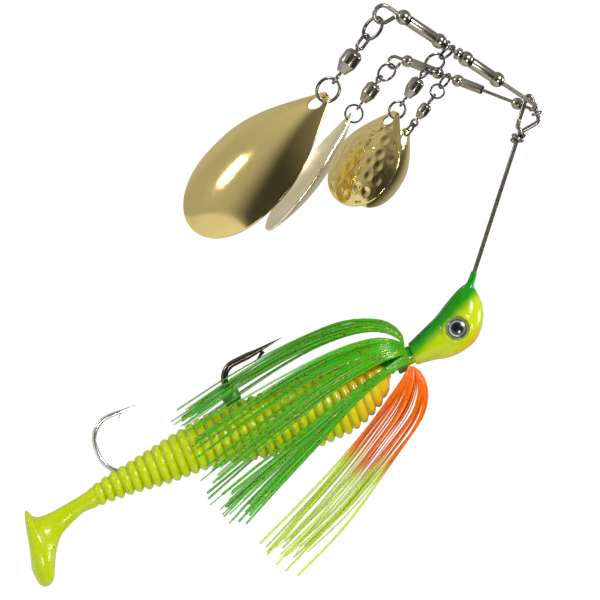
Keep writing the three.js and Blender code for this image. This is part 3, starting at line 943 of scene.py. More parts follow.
@dataclass
class WireFrame:
    """The main wire with its line-tie eye and wraps, and the two blade arms."""

    eye_centre: tuple[float, float] = (0.6, -1.6)
    wire: float = 0.54
    foot: tuple[float, float, float] = (0.5, 0.0, -5.2)
    nose: tuple[float, float, float] = (2.9, 0.0, 0.2)
    peak: tuple[float, float, float] = (-3.9, 0.0, 5.0)
    shaft_end: tuple[float, float, float] = (14.7, 0.0, -48.7)
    lead_radius: float = 1.3
    lead_start: float = 1.9
    wrap_turns: float = 1.75
    wrap_pitch: float = 1.16
    wrap_radius: float = 1.16
    wrap_start: float = 0.45
    hook_leaves: float = 120.0
    arms: tuple[Arm, Arm] = (
        Arm(
            "upper",
            side=-1.0,
            wire=0.54,
            yaw=20.0,
            pitch=2.6,
            hook_at=4.87,
            sweep=155.0,
            rise=0.75,
            bend=0.65,
            loop=2.2,
            loop_at=48.0,
            tip_at=44.95,
            bead=1.95,
            tube=1.45,
        ),
        Arm(
            "lower",
            side=1.0,
            wire=0.42,
            yaw=22.0,
            pitch=13.45,
            hook_at=6.28,
            sweep=250.0,
            rise=0.8,
            bend=0.52,
            loop=1.5,
            loop_at=41.4,
            tip_at=39.8,
            bead=1.55,
            tube=1.18,
        ),
    )

    def placed(self, points: Array) -> Array:
        """Points of the wire's own sketch, as metres in the frame."""
        return (points - np.array([self.eye_centre[0], 0.0, self.eye_centre[1]])) * MM

    def main_path(self) -> Array:
        """The main wire's path, from inside the head up through the eye to the end of its wraps."""
        foot = np.array(self.foot)
        shaft = np.array(self.shaft_end) - foot
        shaft = shaft / np.linalg.norm(shaft)
        side = np.array([-shaft[2], 0.0, shaft[0]])
        front = np.array([0.0, -1.0, 0.0])

        def coil(start: float, radius: float, rise: float, angles: Array) -> Array:
            """Turns about the shaft from a height above its foot, rising by a length for each radian."""
            turned_by = (front * np.sin(angles)[:, None] - side * np.cos(angles)[:, None]) * radius
            return foot + turned_by + shaft * (start + rise * (angles - angles[0]))[:, None]

        lead_rise = (self.lead_start + self.wrap_start) / np.pi
        lead = coil(-self.lead_start, self.lead_radius, lead_rise, np.radians(np.arange(0, 180, 15)))
        turns = np.linspace(np.pi, np.pi * (1 + 2 * self.wrap_turns), 43)
        wraps = coil(self.wrap_start, self.wrap_radius, self.wrap_pitch / (2 * np.pi), turns)
        corners = [
            self.shaft_end,
            (*self.foot, 1.5),
            (*self.nose, 1.5),
            (*self.peak, 0.7),
            (-1.4, 0.0, -2.6, 1.4),
            tuple(lead[3]),
        ]
        return self.placed(np.concatenate([dense(bent(corners), 2.0), lead[4:], wraps]))

    def arm_axes(self, arm: Arm) -> tuple[Axes, Array, Array, float]:
        """An arm's own axes and where it hooks on.

        Args:
            arm: the arm.

        Returns:
            Its axes, the hook's centre, the direction off the leg, and the hook's radius.
        """
        leg = np.array(self.nose) - np.array(self.peak)
        leg = leg / np.linalg.norm(leg)
        off = np.array([-leg[2], 0.0, leg[0]])
        hook = np.array(self.peak) + leg * arm.hook_at
        reach = self.wire + arm.wire + 0.1
        start = hook + off * arm.rise
        start[1] = arm.side * reach
        turn = Matrix.Rotation(math.radians(180 - arm.side * arm.yaw), 3, "Z") @ Matrix.Rotation(
            math.radians(arm.pitch), 3, "Y"
        )
        columns = [np.array(turn.col[k]) for k in range(3)]
        return Axes(self.placed(start), *columns), hook, off, reach

    def arm_path(self, arm: Arm) -> Array:
        """An arm's path, from its hook round the leg to its closed end loop."""
        axes, hook, off, reach = self.arm_axes(arm)
        angles = np.radians(np.linspace(90 + arm.sweep, self.hook_leaves, 30))
        side = np.array([0.0, arm.side, 0.0])
        turns = [hook + reach * (off * math.cos(a) + side * math.sin(a)) for a in angles]
        hooked = self.placed(np.array(turns))
        tip, leave = end_loop(arm)
        loop_angles = np.radians(np.linspace(0, leave, 40))
        turns = [(math.sin(a), 0.0, math.cos(a) - 1) for a in loop_angles]
        loop = [(arm.loop_at + arm.loop * x, y, arm.loop * z) for x, y, z in turns]
        last = (hooked[-1] - axes.origin) / MM @ np.array([axes.forward, axes.left, axes.up]).T
        elbow = bent([tuple(last), (0.0, 0.0, 0.0, arm.bend), (arm.loop_at, 0.0, 0.0)])[1:-1]
        straight = dense(np.array([elbow[-1], (arm.loop_at - 0.3, 0.0, 0.0)]), 2.0)[1:]
        local = np.concatenate([elbow, straight, loop, dense(np.array([loop[-1], tip]), 0.8)[1:]])
        return np.concatenate([hooked[:-1], axes.out(local)])

    def build(self) -> list[bpy.types.Object]:
        """Makes the three wires."""
        section = circle(self.wire, self.wire, 14)
        main = Shape().rings(sweep(self.main_path(), section)).build("main_wire_bright", STEEL, 70)
        pieces = [settle(main, STEEL, "main_wire")]
        for arm in self.arms:
            wire = Shape().rings(sweep(self.arm_path(arm), circle(arm.wire, arm.wire, 14), (1.0, 0.0, 0.0)))
            node = f"{arm.name}_arm_wire"
            pieces.append(settle(wire.build(f"{node}_bright", STEEL, 70), STEEL, node))
        return pieces


def end_loop(arm: Arm) -> tuple[tuple[float, float, float], float]:
    """Where an arm's end loop closes.

    Args:
        arm: the arm.

    Returns:
        The wire's tip in the arm's axes, and the angle at which the wire leaves the loop's arc.
    """
    tip = (arm.tip_at, 0.0, -(2 * arm.wire + 0.1))
    reach = math.hypot(tip[0] - arm.loop_at, tip[2] + arm.loop)
    towards = math.degrees(math.atan2(tip[0] - arm.loop_at, tip[2] + arm.loop)) % 360
    return tip, towards - math.degrees(math.acos(arm.loop / reach))


# ---- beads, tubes and washers --------------------------------------------------------------------


class Spacer(Enum):
    """What is threaded on an arm."""

    BEAD = "bead"
    TUBE = "tube"
    WASHER = "washer"


@dataclass
class Spacers:
    """The turned pieces on the arms."""

    arms: tuple[Arm, Arm]
    bore_gap: float = 0.14
    tube_wall: float = 0.28
    sizes: dict[str, float] = field(
        default_factory=lambda: {
            "upper_inner_tube": 6.6,
            "upper_outer_tube": 8.0,
            "lower_inner_tube": 5.6,
            "lower_outer_tube": 6.05,
            "upper_inner_washer": 0.8,
            "upper_outer_washer": 0.55,
        }
    )

    def profile(self, kind: Spacer, arm: Arm, node: str) -> list[Sequence[float]]:
        """A spacer's closed profile.

        Args:
            kind: bead, tube or washer.
            arm: the arm that it is on.
            node: its CAD node.

        Returns:
            Radius and height pairs that go round the section.
        """
        bore = arm.wire + self.bore_gap
        if kind is Spacer.BEAD:
            mouth = math.acos((bore + 0.12) / arm.bead)
            angles = np.linspace(mouth, -mouth, 19)
            bulge = [(arm.bead * math.cos(a), arm.bead * math.sin(a)) for a in angles]
            return [(bore, bulge[0][1] - 0.1), *bulge, (bore, bulge[-1][1] + 0.1)]
        half = self.sizes[node] / 2
        radius = arm.tube if kind is Spacer.TUBE else arm.bead * 0.8
        inner = radius - self.tube_wall if kind is Spacer.TUBE else bore
        return rounded([(inner, half), (radius, half), (radius, -half), (inner, -half)], 0.1)

    def build(self) -> list[bpy.types.Object]:
        """Makes every spacer that the frame has, each on its own body."""
        pieces = []
        for arm in self.arms:
            threaded = [n for n in BODY_OF if n.startswith(f"{arm.name}_") and not n.endswith("wire")]
            for node in sorted(threaded):
                kind = Spacer(node.rsplit("_", 1)[1])
                axis = np.array(JOINTS[node]["axis"], float)
                rings = turned(self.profile(kind, arm, node), pivot(node), axis / np.linalg.norm(axis))
                piece = Shape().rings(rings, closed=True).build(f"{node}_polished", NICKEL, 35)
                pieces.append(settle(piece, NICKEL, node))
        return pieces


# ---- blade chains --------------------------------------------------------------------------------


@dataclass(frozen=True)
class Ring:
    """A split ring of two flat turns, with the half height of the pair, its facing and its outward lean."""

    node: str
    radius: float
    half: float
    faces: float
    lean: float = 0.0

    def build(self, held: float) -> bpy.types.Object:
        """Coils two flat turns of wire side by side, with a step where one crosses to the other.

        Args:
            held: half the thickness of the wire that it hangs on.

        Returns:
            The ring.
        """
        across, normal = facing(self.faces)
        top = held + self.half + PLAY
        across, normal, upright = (self.leaned(v) for v in (across, normal, -DOWN))
        centre = pivot(self.node) + upright * (top - self.radius) * MM
        angles = np.radians(np.linspace(-350, 350, 140)) + math.radians(60)
        shift = np.clip(np.linspace(-350, 350, 140) / 45, -1, 1)
        shift = shift * (1.5 - 0.5 * shift**2) * self.half * 0.5
        round_ring = across * np.cos(angles)[:, None] + upright * np.sin(angles)[:, None]
        path = centre + (round_ring * self.radius + normal * shift[:, None]) * MM
        section = circle(self.half * 0.46, self.half * 0.82, 10)
        piece = Shape().rings(sweep(path, section, normal)).build(f"{self.node}_split", RING_STEEL, 60)
        return settle(piece, RING_STEEL, self.node)

    def leaned(self, direction: Array) -> Array:
        """A direction of the upright ring, after it leans outward."""
        return np.array(Matrix.Rotation(math.radians(self.lean), 3, "Y") @ Vector(direction))


@dataclass(frozen=True)
class Swivel:
    """A barrel swivel: an eye with a stem, a hollow barrel, and a foot eye that spins in it."""

    wire: float
    barrel: float
    length: float
    top_half: float
    foot_half: float
    eye_room: float
    top_faces: float
    foot_faces: float

    def eye(self, at: Array, half_height: float, faces: float) -> list[Array]:
        """An oval eye's rings.

        Args:
            at: the place of the eye's top, in metres.
            half_height: half of the eye's height, along the wire's middle.
            faces: how it faces.

        Returns:
            The rings of a closed loop of wire.
        """
        across, normal = facing(faces)
        half_width = self.wire + self.eye_room
        angles = np.linspace(0, 2 * np.pi, 48, endpoint=False)
        stretch = half_height - half_width
        heights = half_width * np.sin(angles) + np.clip(np.sin(angles) * 3, -1, 1) * stretch - half_height
        widths = half_width * np.cos(angles)
        path = np.array([at + (across * w - DOWN * h) * MM for w, h in zip(widths, heights)])
        return sweep(path, circle(self.wire, self.wire, 12), normal, closed=True)

    def build(self, chain: str, held: float) -> list[bpy.types.Object]:
        """Makes the eye, barrel and foot.

        Args:
            chain: the chain's name.
            held: half the thickness of the wire that the eye hangs on.

        Returns:
            The three pieces.
        """
        hang = pivot(f"{chain}_swivel_eye")
        up = -DOWN
        eye_top = held + self.wire + PLAY
        stem = self.wire * 0.9
        barrel_top = eye_top - 2 * self.top_half - 0.75
        barrel_foot = barrel_top - self.length
        foot_top = barrel_foot - 0.45 - self.wire * 0.5
        head = self.barrel * 0.55
        neck = stem + 0.12
        cavity = self.barrel - 0.42
        shoulder = barrel_top - 0.16 * self.length
        waist = barrel_top - 0.6 * self.length

        upper = self.eye(hang + up * eye_top * MM, self.top_half, self.top_faces)
        eye = Shape().rings(upper, closed=True)
        wrap = self.wire * 1.55
        top_stem = [
            (0.05, eye_top - 2 * self.top_half + 0.15),
            (wrap * 0.8, eye_top - 2 * self.top_half + 0.1),
            (wrap, eye_top - 2 * self.top_half - 0.15),
            (wrap, eye_top - 2 * self.top_half - 0.35),
            (stem, eye_top - 2 * self.top_half - 0.5),
            (stem, shoulder - 0.42),
            (head, shoulder - 0.47),
            (head, shoulder - 0.97),
            (0.05, shoulder - 0.97),
        ]
        eye.rings(turned(top_stem, hang, up, 24))
        profile = rounded(
            [
                (neck, barrel_top),
                (self.barrel * 0.6, barrel_top),
                (self.barrel, shoulder),
                (self.barrel, waist),
                (self.barrel * 0.5, barrel_foot),
                (neck, barrel_foot),
                (neck, barrel_foot + 0.75),
                (cavity, waist),
                (cavity, shoulder - 0.3),
                (neck, shoulder - 0.3),
            ],
            0.16,
        )
        barrel = Shape().rings(turned(profile, hang, up, 48), closed=True)
        lower = self.eye(hang + up * foot_top * MM, self.foot_half, self.foot_faces)
        foot = Shape().rings(lower, closed=True)
        head_top = waist + 0.3
        foot_stem = [
            (0.05, head_top),
            (head, head_top),
            (head, head_top - 0.45),
            (stem, head_top - 0.5),
            (stem, foot_top - 0.1),
            (0.05, foot_top - 0.25),
        ]
        foot.rings(turned(foot_stem, hang, up, 24))
        made = [
            (eye, "swivel_eye", "bent", RING_STEEL, 60),
            (barrel, "swivel_barrel", "polished", NICKEL, 35),
            (foot, "swivel_foot", "bent", RING_STEEL, 60),
        ]
        return [
            settle(shape.build(f"{chain}_{part}_{word}", finish, crease), finish, f"{chain}_{part}")
            for shape, part, word, finish, crease in made
        ]


@dataclass(frozen=True)
class Blade:
    """A dished sheet-metal teardrop that hangs by its oval hole."""

    length: float
    width: float
    dish: float
    gauge: float
    hole: float
    margin: float
    fullness: float
    faces: float
    lean: float
    finish: Finish
    dimple: float = 0.0
    hole_stretch: float = 1.2
    rows: int = 110
    columns: int = 72

    def half_width(self, t: Array) -> Array:
        """Half the blade's width at shares t of its length."""
        rise = np.sin(np.pi / 2 * np.minimum(1, (t + 0.045) / self.fullness)) ** 1.15
        late = np.clip((t - self.fullness) / (1 - self.fullness), 0, 1)
        return rise * np.sqrt(np.maximum(0, 1 - late**2.2)) * self.width / 2

    def dish_at(self, t: Array) -> Array:
        """The depth of the dish along the blade's middle."""
        return self.dish * np.sin(np.pi * np.clip(1.02 * t - 0.02, 0, 1)) ** 0.8

    def dimples(self, x: Array, z: Array, edge: Array) -> Array:
        """How far hammer marks sink the face.

        Args:
            x: places across.
            z: places along.
            edge: distance to the blade's rim.

        Returns:
            The depth at each place.
        """
        pitch_x, pitch_z = 2.9, 3.3
        row = np.round(z / pitch_z)
        column = np.round(x / pitch_x - 0.5 * (row % 2)) + 0.5 * (row % 2)
        wander = 0.35 * np.sin(row * 12.9 + column * 78.2)
        away_x = (x - column * pitch_x - wander) / 1.15
        away_z = (z - row * pitch_z + 0.3 * np.cos(row * 7.3 + column * 31.4)) / 1.45
        away = np.sqrt(away_x**2 + away_z**2)
        bowl = np.cos(np.clip(away, 0, 1) * np.pi / 2) ** 2 * self.dimple
        ridge = np.exp(-(((away - 1.08) / 0.16) ** 2)) * self.dimple * 0.22
        return (bowl - ridge) * np.clip((edge - 0.7) / 0.8, 0, 1)

    def face(self, offset: float, t: Array, s: Array) -> Array:
        """One face of the sheet, before the blade is turned.

        Args:
            offset: how far it lies from the sheet's middle.
            t: shares of the length.
            s: shares of the half width, from -1 to 1.

        Returns:
            Its points in millimetres, row by row.
        """
        half = np.maximum(0.02, self.half_width(t))[:, None]
        seat = self.dish_at(np.array([self.margin / self.length]))[0]
        x = s[None, :] * half
        z = np.repeat((self.margin - t * self.length)[:, None], len(s), axis=1)
        y = seat - self.dish_at(t)[:, None] * (1 - s[None, :] ** 2)
        if self.dimple:
            edge = np.minimum(half - np.abs(x), np.minimum(t, 1 - t)[:, None] * self.length)
            y = y + self.dimples(x, z, edge)
        return np.stack([x, y + offset, z], axis=2)

    def build(self, chain: str, ring: Ring) -> bpy.types.Object:
        """Skins both faces and the rolled rim, punches the hole, and hangs the blade.

        Args:
            chain: the chain's name.
            ring: the ring that the blade hangs on.

        Returns:
            The blade.
        """
        t = (1 - np.cos(np.linspace(0, np.pi, self.rows))) / 2
        s = np.sin(np.linspace(-np.pi / 2, np.pi / 2, self.columns))
        front, back = self.face(-self.gauge / 2, t, s), self.face(self.gauge / 2, t, s)
        rings = []
        for near, far in zip(front, back):
            left = (near[0] + far[0]) / 2 - [0.12, 0, 0]
            right = (near[-1] + far[-1]) / 2 + [0.12, 0, 0]
            rings.append(np.concatenate([near, [right], far[::-1], [left]]))
        turn = Matrix.Rotation(math.radians(self.faces), 4, "Z")
        hang = turn @ Matrix.Rotation(math.radians(self.lean), 4, "Y")
        rise = Matrix.Translation((0.0, 0.0, ring.half + 2 * PLAY))
        placed = Matrix.Translation(pivot(f"{chain}_blade")) @ Matrix.Scale(MM, 4) @ hang @ rise
        whole = Shape().rings(rings).build(f"{chain}_blade_plated", self.finish, 60)
        punch = self.punch()
        pierced(whole, punch)
        whole.data.transform(placed)
        return settle(whole, self.finish, f"{chain}_blade")

    def punch(self) -> bpy.types.Object:
        """The oval tool that cuts the hole."""
        tall = self.hole * self.hole_stretch
        oval = circle(self.hole, tall, 40)
        rings = [np.stack([oval[:, 0], np.full(40, y), oval[:, 1] - tall], axis=1) for y in (-6.0, 6.0)]
        return Shape().rings(rings).build("hole_punch", self.finish)


def pierced(piece: bpy.types.Object, tool: bpy.types.Object) -> None:
    """Cuts a tool out of a piece and removes the tool."""
    cut = piece.modifiers.new("hole", "BOOLEAN")
    cut.operation = "DIFFERENCE"
    cut.solver = "EXACT"
    cut.object = tool
    bpy.context.view_layer.update()
    result = bpy.data.meshes.new_from_object(piece.evaluated_get(bpy.context.evaluated_depsgraph_get()))
    piece.modifiers.clear()
    piece.data = result
    bpy.data.objects.remove(tool)
    result.shade_smooth()
    result.set_sharp_from_angle(angle=math.radians(60))


@dataclass(frozen=True)
class Chain:
    """A hanging chain: its rings, swivel, blade ring and blade."""

    name: str
    wire: float
    rings: tuple[Ring, ...]
    swivel: Swivel
    blade_ring: Ring
    blade: Blade

    def build(self) -> list[bpy.types.Object]:
        """Makes every link, from the arm down."""
        pieces = []
        held = self.wire
        for ring in self.rings:
            pieces.append(ring.build(held))
            held = ring.half
        pieces += self.swivel.build(self.name, held)
        pieces.append(self.blade_ring.build(self.swivel.wire))
        pieces.append(self.blade.build(self.name, self.blade_ring))
        return pieces


CHAINS = (
    Chain(
        "big",
        0.54,
        (Ring("big_top_ring", 3.1, 0.43, -53),),
        Swivel(0.42, 2.35, 6.6, 2.05, 1.25, 0.62, 37, 96),
        Ring("big_blade_ring", 3.1, 0.42, 30),
        Blade(47.8, 25.5, 4.6, 0.7, 1.7, 1.6, 0.62, -34, 11.7, GOLD),
    ),
    Chain(
        "pale",
        0.42,
        (Ring("pale_top_ring", 2.4, 0.31, 42, 12),),
        Swivel(0.32, 1.85, 5.6, 0.8, 0.8, 0.48, -42, 90),
        Ring("pale_blade_ring", 2.2, 0.32, 0),
        Blade(36.2, 19, 3.4, 0.6, 1.3, 1.5, 0.62, 104, -1, PALE_GOLD),
    ),
    Chain(
        "hammered",
        0.54,
        (Ring("hammered_wire_ring", 2.25, 0.36, -70, 14), Ring("hammered_link_ring", 2.65, 0.36, 42, 14)),
        Swivel(0.36, 1.83, 5.6, 1.4, 1.0, 0.52, -44, 90),
        Ring("hammered_blade_ring", 2.2, 0.34, 30),
        Blade(26.7, 18.6, 3.2, 0.6, 1.3, 1.3, 0.6, -36, -6, GOLD, dimple=0.2, rows=150, columns=110),
    ),
    Chain(
        "back",
        0.42,
        (Ring("back_wire_ring", 2.1, 0.3, 68), Ring("back_link_ring", 1.75, 0.3, -14)),
        Swivel(0.3, 1.45, 4.3, 1.1, 0.9, 0.46, 78, 14),
        Ring("back_blade_ring", 1.8, 0.3, 108),
        Blade(22.6, 16.4, 2.9, 0.55, 1.3, 1.2, 0.6, 44, -5, GOLD),
    ),
)

# ---- jig head and eyes ---------------------------------------------------------------------------


@dataclass
class JigHead:
    """The painted casting, its two eyes and the skirt's rubber collar."""

    back: tuple = (
        (0, 2.9), (4.2, 4.6), (8.6, 6.4), (12.3, 8.5), (16, 10.4), (18.2, 11.1), (19.6, 10.9),
        (20.5, 9.4),
    )
    chin: tuple = (
        (0, -2.9),
        (4.3, -3.4),
        (7.1, -4.1),
        (10.2, -4.3),
        (13.3, -3.8),
        (16, -2.7),
        (18.3, -0.5),
        (19.9, 2),
        (20.7, 4.6),
    )
    nose: tuple[float, float] = (20.9, 7.0)
    sides: tuple = (
        (0, 2.9), (4, 3.6), (8.5, 4.5), (12.3, 4.9), (15.5, 4.6), (18, 3.7), (19.6, 2.5), (20.5, 1.2),
    )
    eye: tuple[float, float] = (12.6, 1.7)
    eye_radius: float = 2.9
    eye_floor: float = 4.05
    stations: int = 110
    around: int = 112

    def branch(self, points: Sequence[Sequence[float]], end: Sequence[float], x: Array) -> Array:
        """An outline's height at places along the head."""
        curve = spline([*points, end], 400)
        return np.interp(x, curve[:, 0], curve[:, 1])

    def casting(self) -> Shape:
        """The head's skin, with a raised socket round each eye."""
        u = np.linspace(0, 1, self.stations)
        x = self.nose[0] * (1 - (1 - u) ** 2)
        top = self.branch(self.back, self.nose, x)
        low = self.branch(self.chin, self.nose, x)
        wide = self.branch(self.sides, (self.nose[0], 0.0), x)
        angles = np.arange(self.around) / self.around * 2 * np.pi
        rings = []
        for along, high, bottom, half in zip(x, top, low, wide):
            y = half * np.cos(angles) * (1 - 0.14 * np.sin(angles))
            z = (high + bottom) / 2 + (high - bottom) / 2 * np.sin(angles)
            away = np.hypot(along - self.eye[0], z - self.eye[1])
            lip = 0.32 * np.exp(-(((away - 3.45) / 0.42) ** 2))
            flat = np.clip((3.15 - away) / 0.18, 0, 1)
            depth = np.abs(y) + lip
            depth = depth + (np.minimum(depth, self.eye_floor - 0.05) - depth) * flat
            y = np.where(np.abs(y) > 1.5, np.sign(y) * depth, y)
            rings.append(JIG.out(np.stack([np.full(self.around, along), y, z], axis=1)))
        return Shape().rings(rings)

    def build(self, wires: WireFrame) -> list[bpy.types.Object]:
        """Makes the head with its wire collar and keeper, both eyes and the rubber collar.

        Args:
            wires: the wire frame, whose shaft enters the head.

        Returns:
            The pieces.
        """
        head = self.casting()
        seat = [
            (0.1, 0.0), (2.86, 0.0), (2.86, -0.1), (2.3, -0.2), (2.3, -5.4), (2.75, -6.3), (1.9, -9.4),
            (1.2, -9.4),
        ]
        head.rings(turned(seat, JIG.origin, JIG.forward))
        end, foot = wires.placed(np.array([wires.shaft_end, wires.foot]))
        shaft = (foot - end) / np.linalg.norm(foot - end)
        collar = [(2.2, 3.4), (1.5, 4.9), (1.0, 6.2), (0.82, 7.4), (0.78, 9.0), (0.72, 9.25), (0.6, 9.3)]
        head.rings(turned(collar, end, shaft))
        pieces = [settle(head.build("jig_head_painted", PAINT, 60), PAINT, "jig_head")]
        pieces += [self.eyeball(name, side) for name, side in (("near_eye", -1.0), ("far_eye", 1.0))]
        band = rounded([(3.4, -2.4), (3.4, -5.0), (2.5, -5.0), (2.5, -2.4)], 0.3)
        rubber = Shape().rings(turned(band, JIG.origin, JIG.forward), closed=True)
        pieces.append(settle(rubber.build("skirt_collar_rubber", COLLAR), COLLAR, "skirt_collar"))
        return pieces

    def eyeball(self, name: str, side: float) -> bpy.types.Object:
        """One stick-on eye.

        Args:
            name: its CAD node.
            side: -1 for the near side, 1 for the far one.

        Returns:
            The domed eye.
        """
        radii = np.concatenate([np.linspace(0.02, self.eye_radius, 40), [self.eye_radius, 0.02]])
        rise = 1.3 * (1 - (radii / self.eye_radius) ** 2) ** 0.8
        rise[-2:] = -0.08
        centre = JIG.out([(self.eye[0], side * self.eye_floor, self.eye[1])])[0]
        rings = turned(list(zip(radii, rise)), centre, JIG.left * side, 64)
        dome = Shape().rings(rings, radius=radii)
        return settle(dome.build(f"{name}_dome", EYE, 40), EYE, name)


# ---- hooks ---------------------------------------------------------------------------------------


@dataclass
class Hooks:
    """The main hook, the stinger hook on its bend, and the rubber stopper."""

    wire: float = 0.9
    stinger_wire: float = 0.6
    bend: tuple[float, float, float] = (-39.7, 6.5, 6.5)
    slant: float = 24.0

    def tapered(self, path: Array, radius: float, taper: float, point: float) -> list[Array]:
        """A hook's rings.

        Args:
            path: its path in the jig's axes, in millimetres.
            radius: the wire's radius.
            taper: the share of the length at which the point begins.
            point: the radius at the tip.

        Returns:
            The rings, round wire that narrows to a point.
        """

        def section(share: float) -> Array:
            """The wire's section at a share of its length."""
            late = max(0.0, (share - taper) / (1 - taper))
            size = radius + (point - radius) * late**0.85
            return circle(size, size, 16)

        return sweep(JIG.out(path), section, JIG.left)

    def barb(self, shape: Shape, root: Sequence[float], tip: Sequence[float], radius: float) -> None:
        """Adds a barb that curls back from the point."""
        middle = [(r + t) / 2 + d for r, t, d in zip(root, tip, (0.25, 0.0, 0.1))]
        path = spline([root, middle, tip], 10)
        rings = sweep(
            JIG.out(path),
            lambda share: circle(radius * 0.6 * (1 - share) + 0.02, radius * (1 - share) + 0.02, 10),
            JIG.left,
        )
        shape.rings(rings)

    def build(self) -> list[bpy.types.Object]:
        """Makes both hooks and the stopper."""
        x, z, r = self.bend
        main_path = bent(
            [(9, 0, 0), (x - r, 0, 0, r), (x - r, 0, 14.7, 4.2), (-36.5, 0, 15.35, 12), (-28.6, 0, 16.3)],
            6,
        )
        main = Shape().rings(self.tapered(dense(main_path, 0.8), self.wire, 0.885, 0.05))
        self.barb(main, (-34.4, 0, 14.9), (-37.3, 0, 13.0), 0.55)
        pieces = [settle(main.build("main_hook_black", BLACK_NICKEL, 70), BLACK_NICKEL, "main_hook")]

        turn = math.radians(self.slant)
        reach = self.wire + self.stinger_wire + 0.2
        eye = np.array([x - r * math.cos(turn), 0.0, z - r * math.sin(turn)])
        outward_along = np.array([-math.cos(turn), 0.0, -math.sin(turn)])
        angles = np.linspace(0, 2 * np.pi, 40, endpoint=False)
        loop = [eye + reach * (outward_along * math.cos(a) + np.array([0, math.sin(a), 0])) for a in angles]
        loop_rings = sweep(
            JIG.out(loop),
            circle(self.stinger_wire, self.stinger_wire, 12),
            JIG.up,
            closed=True,
        )
        foot = eye + outward_along * reach
        path = bent(
            [
                tuple(foot),
                (-82.4, 0, -1.2, 6.8),
                (-82.2, 0, 14.6, 6.2),
                (-72.6, 0, 14.4, 8),
                (-67.8, 0, 14.6),
            ],
            6,
        )
        stinger = Shape().rings(loop_rings, closed=True)
        stinger.rings(self.tapered(dense(path, 0.8), self.stinger_wire, 0.885, 0.04))
        self.barb(stinger, (-72.8, 0, 14.1), (-74.9, 0, 12.6), 0.36)
        pieces.append(
            settle(stinger.build("stinger_hook_bright", HOOK_NICKEL, 70), HOOK_NICKEL, "stinger_hook")
        )

        bore = self.wire + 0.2
        bulge = [(2.36 - 0.62 * abs(h / 2.2) ** 2.6, h) for h in np.linspace(2.2, -2.2, 17)]
        profile = [(bore, 2.0), *bulge, (bore, -2.0)]
        rings = turned(profile, JIG.out([(-46.1, 0, 7.35)])[0], JIG.up, 40)
        stopper = Shape().rings(rings, closed=True)
        pieces.append(settle(stopper.build("hook_stopper_rubber", STOPPER, 45), STOPPER, "hook_stopper"))
        return pieces


# ---- trailer -------------------------------------------------------------------------------------


